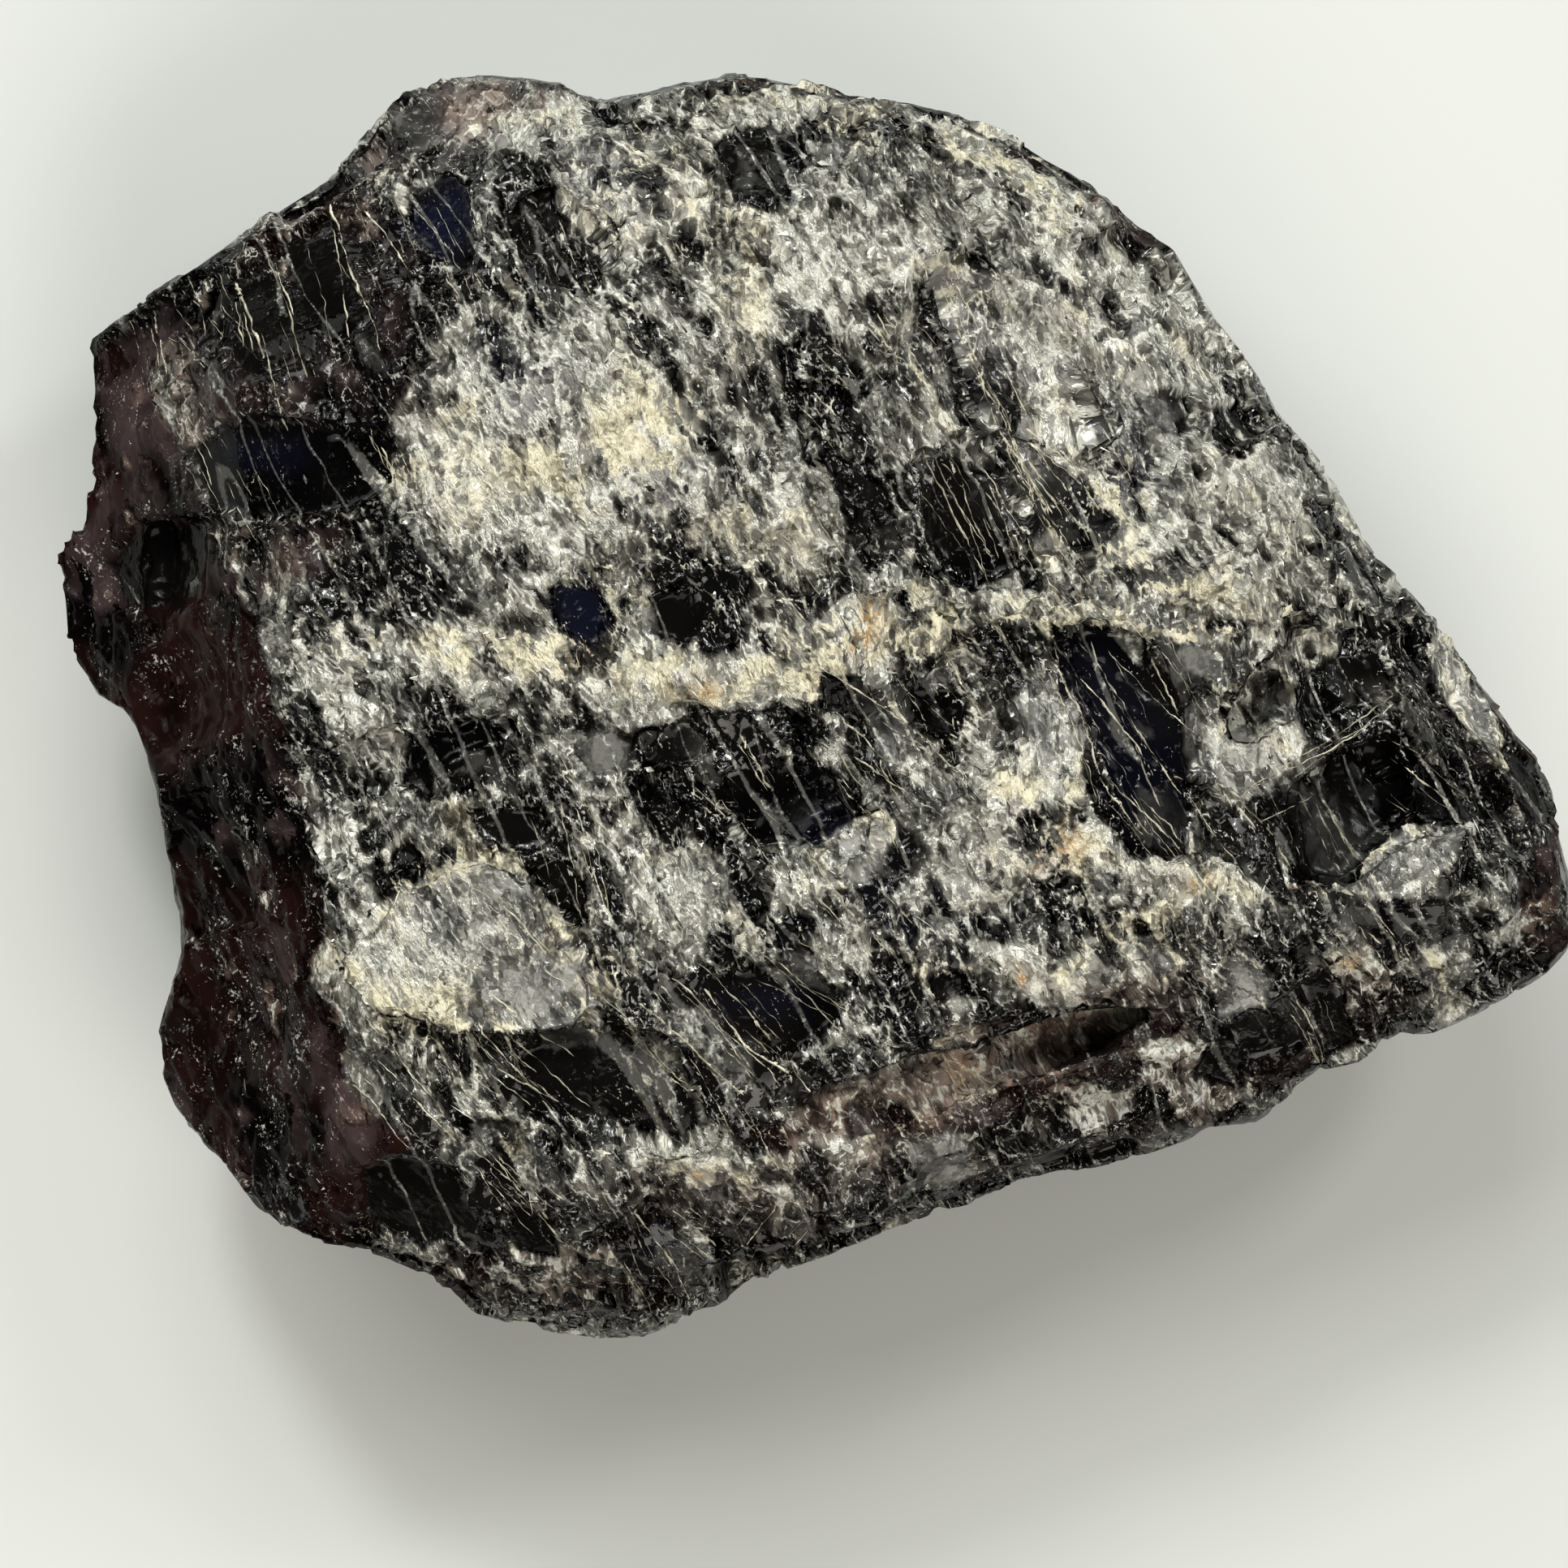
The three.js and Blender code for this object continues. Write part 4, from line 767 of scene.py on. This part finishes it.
def scattered(name, stone, sizes, finish):
    """A piece of many small ones that lie on the stone."""
    tree = scatter_tree(name)
    carrier = plain_copy(name, stone.data)
    scattering = carrier.modifiers.new("scattered", "NODES")
    scattering.node_group = tree
    values = {**sizes, "Finish": finish}
    for item in tree.interface.items_tree:
        if item.in_out == "INPUT" and item.name in values:
            scattering[item.identifier] = values[item.name]
    mesh = evaluated_mesh(carrier)
    carrier.modifiers.clear()
    kept = {"position", "tone", "tint", "fracture", "sharp_face", "material_index"}
    for attribute in [a.name for a in mesh.attributes if a.name not in kept and not a.name.startswith(".")]:
        mesh.attributes.remove(mesh.attributes[attribute])
    mesh.name = name
    carrier.data = mesh
    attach(carrier, "root")


# Materials


class Wire:
    """An output socket. Sums on it add Math nodes."""

    def __init__(self, finish, socket):
        self.finish = finish
        self.socket = socket

    def __add__(self, other):
        return self.finish.math("ADD", self, other)

    def __sub__(self, other):
        return self.finish.math("SUBTRACT", self, other)

    def __rsub__(self, other):
        return self.finish.math("SUBTRACT", other, self)

    def __mul__(self, other):
        return self.finish.math("MULTIPLY", self, other)

    def __truediv__(self, other):
        return self.finish.math("DIVIDE", self, other)

    def __pow__(self, other):
        return self.finish.math("POWER", self, other)

    def __abs__(self):
        return self.finish.math("ABSOLUTE", self)

    __radd__ = __add__
    __rmul__ = __mul__

    def other(self, name):
        """Another output of the same node."""
        return Wire(self.finish, self.socket.node.outputs[name])


class Finish:
    """A material whose nodes are added one call at a time."""

    def __init__(self, name):
        self.material = bpy.data.materials.new(name)
        self.material.use_nodes = True
        self.tree = self.material.node_tree
        self.shader = self.tree.nodes["Principled BSDF"]

    def add(self, kind, settings, inputs, output=0):
        """A node of this kind. Its settings come first, then the values or links of its inputs."""
        node = self.tree.nodes.new(kind)
        for name, value in settings.items():
            setattr(node, name, value)
        for name, value in inputs.items():
            self.set(node.inputs[name], value)
        return Wire(self, node.outputs[output])

    def set(self, socket, value):
        if isinstance(value, Wire):
            self.tree.links.new(value.socket, socket)
        else:
            socket.default_value = value

    def math(self, operation, *values):
        return self.add("ShaderNodeMath", {"operation": operation}, dict(enumerate(values)))

    def least(self, a, b):
        return self.math("MINIMUM", a, b)

    def most(self, a, b):
        return self.math("MAXIMUM", a, b)

    def vector(self, operation, *values, output=0):
        return self.add("ShaderNodeVectorMath", {"operation": operation}, dict(enumerate(values)), output)

    def scaled(self, vector, factor):
        return self.add("ShaderNodeVectorMath", {"operation": "SCALE"}, {0: vector, "Scale": factor})

    def mix(self, factor, a, b):
        """Colour a where the factor is 0 and b where it is 1."""
        settings = {"data_type": "RGBA", "clamp_factor": True}
        return self.add("ShaderNodeMix", settings, {0: factor, 6: a, 7: b}, 2)

    def ramp(self, value, start, end, low=0.0, high=1.0):
        """low below start, high above end and a smooth rise between them."""
        inputs = {"Value": value, "From Min": start, "From Max": end, "To Min": low, "To Max": high}
        return self.add("ShaderNodeMapRange", {"interpolation_type": "SMOOTHSTEP"}, inputs)

    def attribute(self, name, output="Fac"):
        return self.add("ShaderNodeAttribute", {"attribute_name": name}, {}, output)

    def noise(self, vector, size, detail=3.0, roughness=0.55, distortion=0.0, output="Fac"):
        """Cloudy noise whose largest waves have this size in millimetres."""
        inputs = {
            "Vector": vector, "Scale": 1 / size, "Detail": detail, "Roughness": roughness, "Distortion": distortion,
        }
        return self.add("ShaderNodeTexNoise", {"noise_dimensions": "3D"}, inputs, output)

    def ridges(self, vector, size, detail, roughness):
        """Noise with sharp crests, where it comes near to 1 or, with finer crests added, higher."""
        settings = {"noise_dimensions": "3D", "noise_type": "RIDGED_MULTIFRACTAL"}
        inputs = {
            "Vector": vector, "Scale": 1 / size, "Detail": detail, "Roughness": roughness, "Offset": 1.0, "Gain": 1.5,
        }
        return self.add("ShaderNodeTexNoise", settings, inputs)

    def cells(self, vector, size):
        """A random colour for each angular cell."""
        return self.add("ShaderNodeTexVoronoi", {}, {"Vector": vector, "Scale": 1 / size}, "Color")

    def facets(self, vector, size, lean, step=0.0):
        """Heights of flat facets in millimetres, each leaning its own way, and two random tones of each facet."""
        random = self.cells(vector, size)
        turn = self.vector("SUBTRACT", random, (0.5, 0.5, 0.5))
        away = self.vector("SUBTRACT", self.scaled(vector, 1 / size), random.other("Position"))
        height = self.vector("DOT_PRODUCT", turn, away, output="Value") * (2 * lean * size)
        tones = [self.vector("DOT_PRODUCT", random, way, output="Value") for way in ((1, 0, 0), (0, 1, 0))]
        return height + tones[0] * step, *tones

    def stretched(self, vector, across, along, up):
        return self.vector("MULTIPLY", vector, (1 / across, 1 / along, 1 / up))


SILVER = [(0.08, 0.08, 0.074, 1), (0.72, 0.72, 0.64, 1)]  # the darkest and the palest of the crushed glass
STRAW = [(0.12, 0.105, 0.065, 1), (0.78, 0.73, 0.53, 1)]  # the same where iron has stained it
RUST_BROWN = (0.52, 0.31, 0.12, 1)


def stone_finish():
    f = Finish("dark broken glass")
    grain = f.attribute("grain", "Vector")
    fracture = f.attribute("fracture")
    tint = f.attribute("tint")
    plate = f.attribute("plate")
    # The red-brown skin together with painted shade on the sides
    brown_and_shade = f.attribute("brown_and_shade")
    calm = f.attribute("calm")

    # The broken surface: sharp creases as in crumpled foil, grit, and ragged chips along the grain. Long partings
    # cross it, and some larger blocks are paler than others.
    crease = f.ridges(f.stretched(grain, 1, 2, 1), 0.4, detail=3, roughness=0.65)
    grit = f.noise(grain, 0.15, detail=2, roughness=0.65)
    ragged = f.vector("ADD", f.stretched(grain, 1, 1.8, 1), crease * 0.1)
    facet, facet_tone, gloss = f.facets(ragged, 0.34, 0.36, 0.04)
    block_tone = f.vector("DOT_PRODUCT", f.cells(ragged, 1.0), (1, 0, 0), output="Value")
    parting = f.ridges(f.stretched(grain, 1.5, 18, 8), 1.0, detail=1, roughness=0.15)

    # Where the glass is crushed it is hazy, then pale. Thin pale threads run along the creases and the partings; those
    # on the creases are partly broken glass and partly painted highlights.
    level = fracture + (block_tone - 0.5) * 0.4
    broken = level + ((facet_tone - 0.5) * 0.3 + (crease - 1.1) * 0.5 + (grit - 0.5) * 0.3) * (1 - calm * 0.6)
    pale = f.ramp(broken, 0.82, 0.93)
    # Pale strokes on the crease crests: partly broken glass, partly painted highlights
    crease_thread_and_glint = f.ramp(crease + f.ramp(level, -0.4, 0.8, -0.2, 0.3) + f.attribute("threads") * 0.3 - calm * 0.1, 1.62, 1.78)
    line = f.ramp(parting + (grit - 0.5) * 0.12 + fracture * 0.06 - brown_and_shade * 0.2, 0.955, 1.02)
    pale = f.most(pale, f.most(crease_thread_and_glint * (1 - brown_and_shade * 0.4), line) * 0.85)
    speck = f.ramp(grit + (facet_tone - 0.5) * 0.25 + f.attribute("threads") * 0.1 + brown_and_shade * 0.08, 0.68, 0.76)
    pale = f.most(pale, speck * brown_and_shade * 0.8)

    # Colours
    glass = f.mix(f.attribute("depth"), (0.0006, 0.0005, 0.0005, 1), (0.0032, 0.0028, 0.0025, 1))
    glass = f.mix(f.attribute("blue"), glass, (0.004, 0.005, 0.014, 1))
    hazy = f.ramp(level * 0.8 + (facet_tone - 0.5) * 0.2 + f.attribute("smoke") * (0.45 + crease * 0.1), 0.08, 1.05)
    hazy = hazy * (1 - f.attribute("clear") * 0.6)
    glass = f.mix(hazy, glass, f.mix(f.attribute("blue"), (0.32, 0.31, 0.262, 1), (0.25, 0.245, 0.275, 1)))
    tiled = f.ramp(block_tone * 0.4 + facet_tone * 0.25 + grit * 0.5, 0.3, 0.9)
    glass = f.mix(plate, glass, f.mix(tiled, (0.15, 0.15, 0.14, 1), (0.52, 0.515, 0.465, 1)))
    bright = f.ramp(facet_tone * 0.4 + (grit - 0.5) * 1.2 + (crease - 1.1) * 0.5 + fracture * 0.4, 0.0, 1.0)
    creamy = f.ramp(tint + (grit - 0.5) * 0.8 + (facet_tone - 0.5) * 0.3, 0.2, 0.8)
    chalk = f.mix(creamy, f.mix(bright, *SILVER), f.mix(bright, *STRAW))
    chalk = f.mix(f.attribute("rust") * f.ramp(grit, 0.42, 0.58), chalk, RUST_BROWN)
    f.set(f.shader.inputs["Base Color"], f.mix(pale, glass, chalk))
    f.set(f.shader.inputs["Roughness"], 0.09 + pale * 0.18 + creamy * pale * 0.15)
    f.set(f.shader.inputs["Metallic"], pale * (1 - creamy) * f.ramp(gloss, 0.2, 0.9, 0.1, 0.45))

    # Relief, in millimetres
    smoothed = f.most(f.most(plate * 0.35, brown_and_shade * 0.88), calm * 0.75)
    rough = f.ramp(fracture, -0.35, 0.6, 0.06, 1.0) * (1 - smoothed)
    relief = (facet + crease * 0.12 + grit * 0.03) * rough
    relief = relief + f.math("SINE", f.attribute("phase")) * f.attribute("ripple") * 0.022
    bump = f.add("ShaderNodeBump", {}, {"Strength": 1.0, "Distance": MM, "Height": relief})
    f.set(f.shader.inputs["Normal"], bump)
    f.shader.inputs["IOR"].default_value = 1.54
    f.shader.inputs["Specular IOR Level"].default_value = 0.4

    # The red-brown skin, which also carries painted shade and a painted warm reflection, and the clear dark windows
    # are duller
    skin_and_shade = f.ramp(brown_and_shade, 0.15, 0.6)
    # The red-brown colours are partly the skin's own and partly painted shade and a painted warm reflection
    reddish_and_shade = f.mix(f.attribute("depth"), (0.0012, 0.0007, 0.0007, 1), (0.014, 0.0050, 0.0042, 1))
    cloudy = f.ramp(f.attribute("smoke") + (block_tone - 0.5) * 0.5, 0.1, 0.7)
    reddish_and_shade = f.mix(cloudy, reddish_and_shade, (0.044, 0.028, 0.029, 1))
    reddish_and_shade = f.mix(hazy, reddish_and_shade, (0.26, 0.18, 0.14, 1))
    dull = f.add("ShaderNodeBsdfPrincipled", {}, {
        "Base Color": f.mix(pale, f.mix(skin_and_shade, glass, reddish_and_shade), chalk), "Roughness": 0.2 + hazy * 0.1,
        "Normal": bump, "IOR": 1.35, "Specular IOR Level": 0.08,
    })
    dulled = f.most(skin_and_shade, f.ramp(f.attribute("clear"), 0.3, 0.8, 0.0, 0.9))
    skin_and_shade = f.add("ShaderNodeMixShader", {}, {0: dulled, 1: Wire(f, f.shader.outputs[0]), 2: dull})
    f.set(f.tree.nodes["Material Output"].inputs["Surface"], skin_and_shade)
    return f.material


def film_finish():
    f = Finish("pale parting films")
    here = f.scaled(f.add("ShaderNodeTexCoord", {}, {}, "Object"), 1 / MM)
    mottle = f.noise(here, 0.4, detail=2)
    shade = f.ramp(mottle + (f.attribute("tint") - 0.5) * 0.3, 0.3, 0.65)
    f.set(f.shader.inputs["Base Color"], f.mix(shade, (0.36, 0.335, 0.24, 1), (0.84, 0.80, 0.62, 1)))
    f.set(f.shader.inputs["Roughness"], 0.3 + mottle * 0.3)
    return f.material


def flake_finish():
    f = Finish("loose glass flakes")
    pale = f.ramp(f.attribute("tone") + f.attribute("fracture") * 0.4, 0.3, 1.5)
    creamy = f.ramp(f.attribute("tint"), 0.2, 0.8)
    f.set(f.shader.inputs["Base Color"], f.mix(pale, (0.010, 0.010, 0.012, 1), f.mix(creamy, SILVER[1], STRAW[1])))
    f.set(f.shader.inputs["Roughness"], 0.1 + pale * 0.25)
    f.set(f.shader.inputs["Metallic"], pale * (1 - creamy) * 0.5)
    f.shader.inputs["IOR"].default_value = 1.54
    return f.material


# Pale needles whose colour stands for small glints: painted highlights
def glint_thread_finish():
    f = Finish("painted glint threads")
    shade = f.ramp(f.attribute("tone") + f.attribute("fracture") * 0.3, 0.2, 1.2)
    creamy = f.ramp(f.attribute("tint"), -0.1, 0.6)
    palest = f.mix(creamy, (0.74, 0.74, 0.68, 1), (0.80, 0.77, 0.62, 1))
    f.set(f.shader.inputs["Base Color"], f.mix(shade, (0.16, 0.16, 0.14, 1), palest))
    f.shader.inputs["Roughness"].default_value = 0.35
    return f.material


def floor_finish():
    f = Finish("pale table")
    here = f.scaled(f.add("ShaderNodeTexCoord", {}, {}, "Object"), 1 / MM)
    shade = f.noise(here, 60, detail=2)
    f.set(f.shader.inputs["Base Color"], f.mix(shade, (0.60, 0.625, 0.60, 1), (0.64, 0.66, 0.635, 1)))
    f.shader.inputs["Roughness"].default_value = 0.8
    return f.material


# The crystal


def make_stone():
    stone = plain_copy("rough_crystal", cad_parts["crystal"].data)
    even_mesh(stone)
    shape_stone(stone.data)
    stone.data.shade_smooth()
    stone.data.materials.append(stone_finish())
    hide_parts("crystal")
    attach(stone, "root")
    return stone


# The table, the lights and the camera


def make_floor():
    size = 1.5
    mesh = bpy.data.meshes.new("table")
    mesh.from_pydata([(-size, -size, 0), (size, -size, 0), (size, size, 0), (-size, size, 0)], [], [(0, 1, 2, 3)])
    floor = bpy.data.objects.new("table", mesh)
    bpy.context.scene.collection.objects.link(floor)
    mesh.materials.append(floor_finish())


def aim(obj, target):
    obj.rotation_euler = (Vector(target) - obj.location).to_track_quat("-Z", "Y").to_euler()


def softbox(name, place_mm, size_mm, power, colour):
    data = bpy.data.lights.new(name, "AREA")
    data.shape = "RECTANGLE"
    data.size, data.size_y = size_mm[0] * MM, size_mm[1] * MM
    data.energy = power
    data.color = colour
    lamp = bpy.data.objects.new(name, data)
    bpy.context.scene.collection.objects.link(lamp)
    lamp.location = Vector(place_mm) * MM
    aim(lamp, (0, 0, 0.01))


def light_scene():
    softbox("window", (-260, 600, 640), (900, 600), 6.6, (1.0, 1.0, 0.97))
    softbox("window_core", (-200, 560, 560), (150, 150), 2.4, (1.0, 1.0, 0.97))
    softbox("far_window", (520, 380, 560), (500, 400), 1.0, (1.0, 1.0, 1.0))
    softbox("far_core", (480, 420, 560), (130, 130), 1.3, (1.0, 1.0, 1.0))
    softbox("fill", (250, -560, 640), (800, 500), 5.0, (1.0, 0.94, 0.86))
    world = bpy.data.worlds.new("room")
    bpy.context.scene.world = world
    world.use_nodes = True
    background = world.node_tree.nodes["Background"]
    background.inputs["Color"].default_value = (0.95, 0.95, 0.90, 1)
    background.inputs["Strength"].default_value = 0.09
    bpy.context.scene.view_settings.view_transform = "Standard"


CAMERA_DISTANCE = 450  # from the camera to the widest line of the stone
RIM_HEIGHT = 8.5


def make_camera():
    data = bpy.data.cameras.new("camera")
    data.sensor_width = 36
    data.lens = data.sensor_width * CAMERA_DISTANCE / (PICTURE * pixel)
    data.clip_start = 0.01
    camera = bpy.data.objects.new("camera", data)
    bpy.context.scene.collection.objects.link(camera)
    x, y = place([(PICTURE / 2, PICTURE / 2)])[0]
    camera.location = Vector((x, y, RIM_HEIGHT + CAMERA_DISTANCE)) * MM
    bpy.context.scene.camera = camera


stone = make_stone()
make_films(stone)
scattered("broken_flakes", stone, FLAKES, flake_finish())
# Pale needles as painted highlights
scattered("painted_glint_threads", stone, GLINT_THREADS, glint_thread_finish())
make_floor()
light_scene()
make_camera()
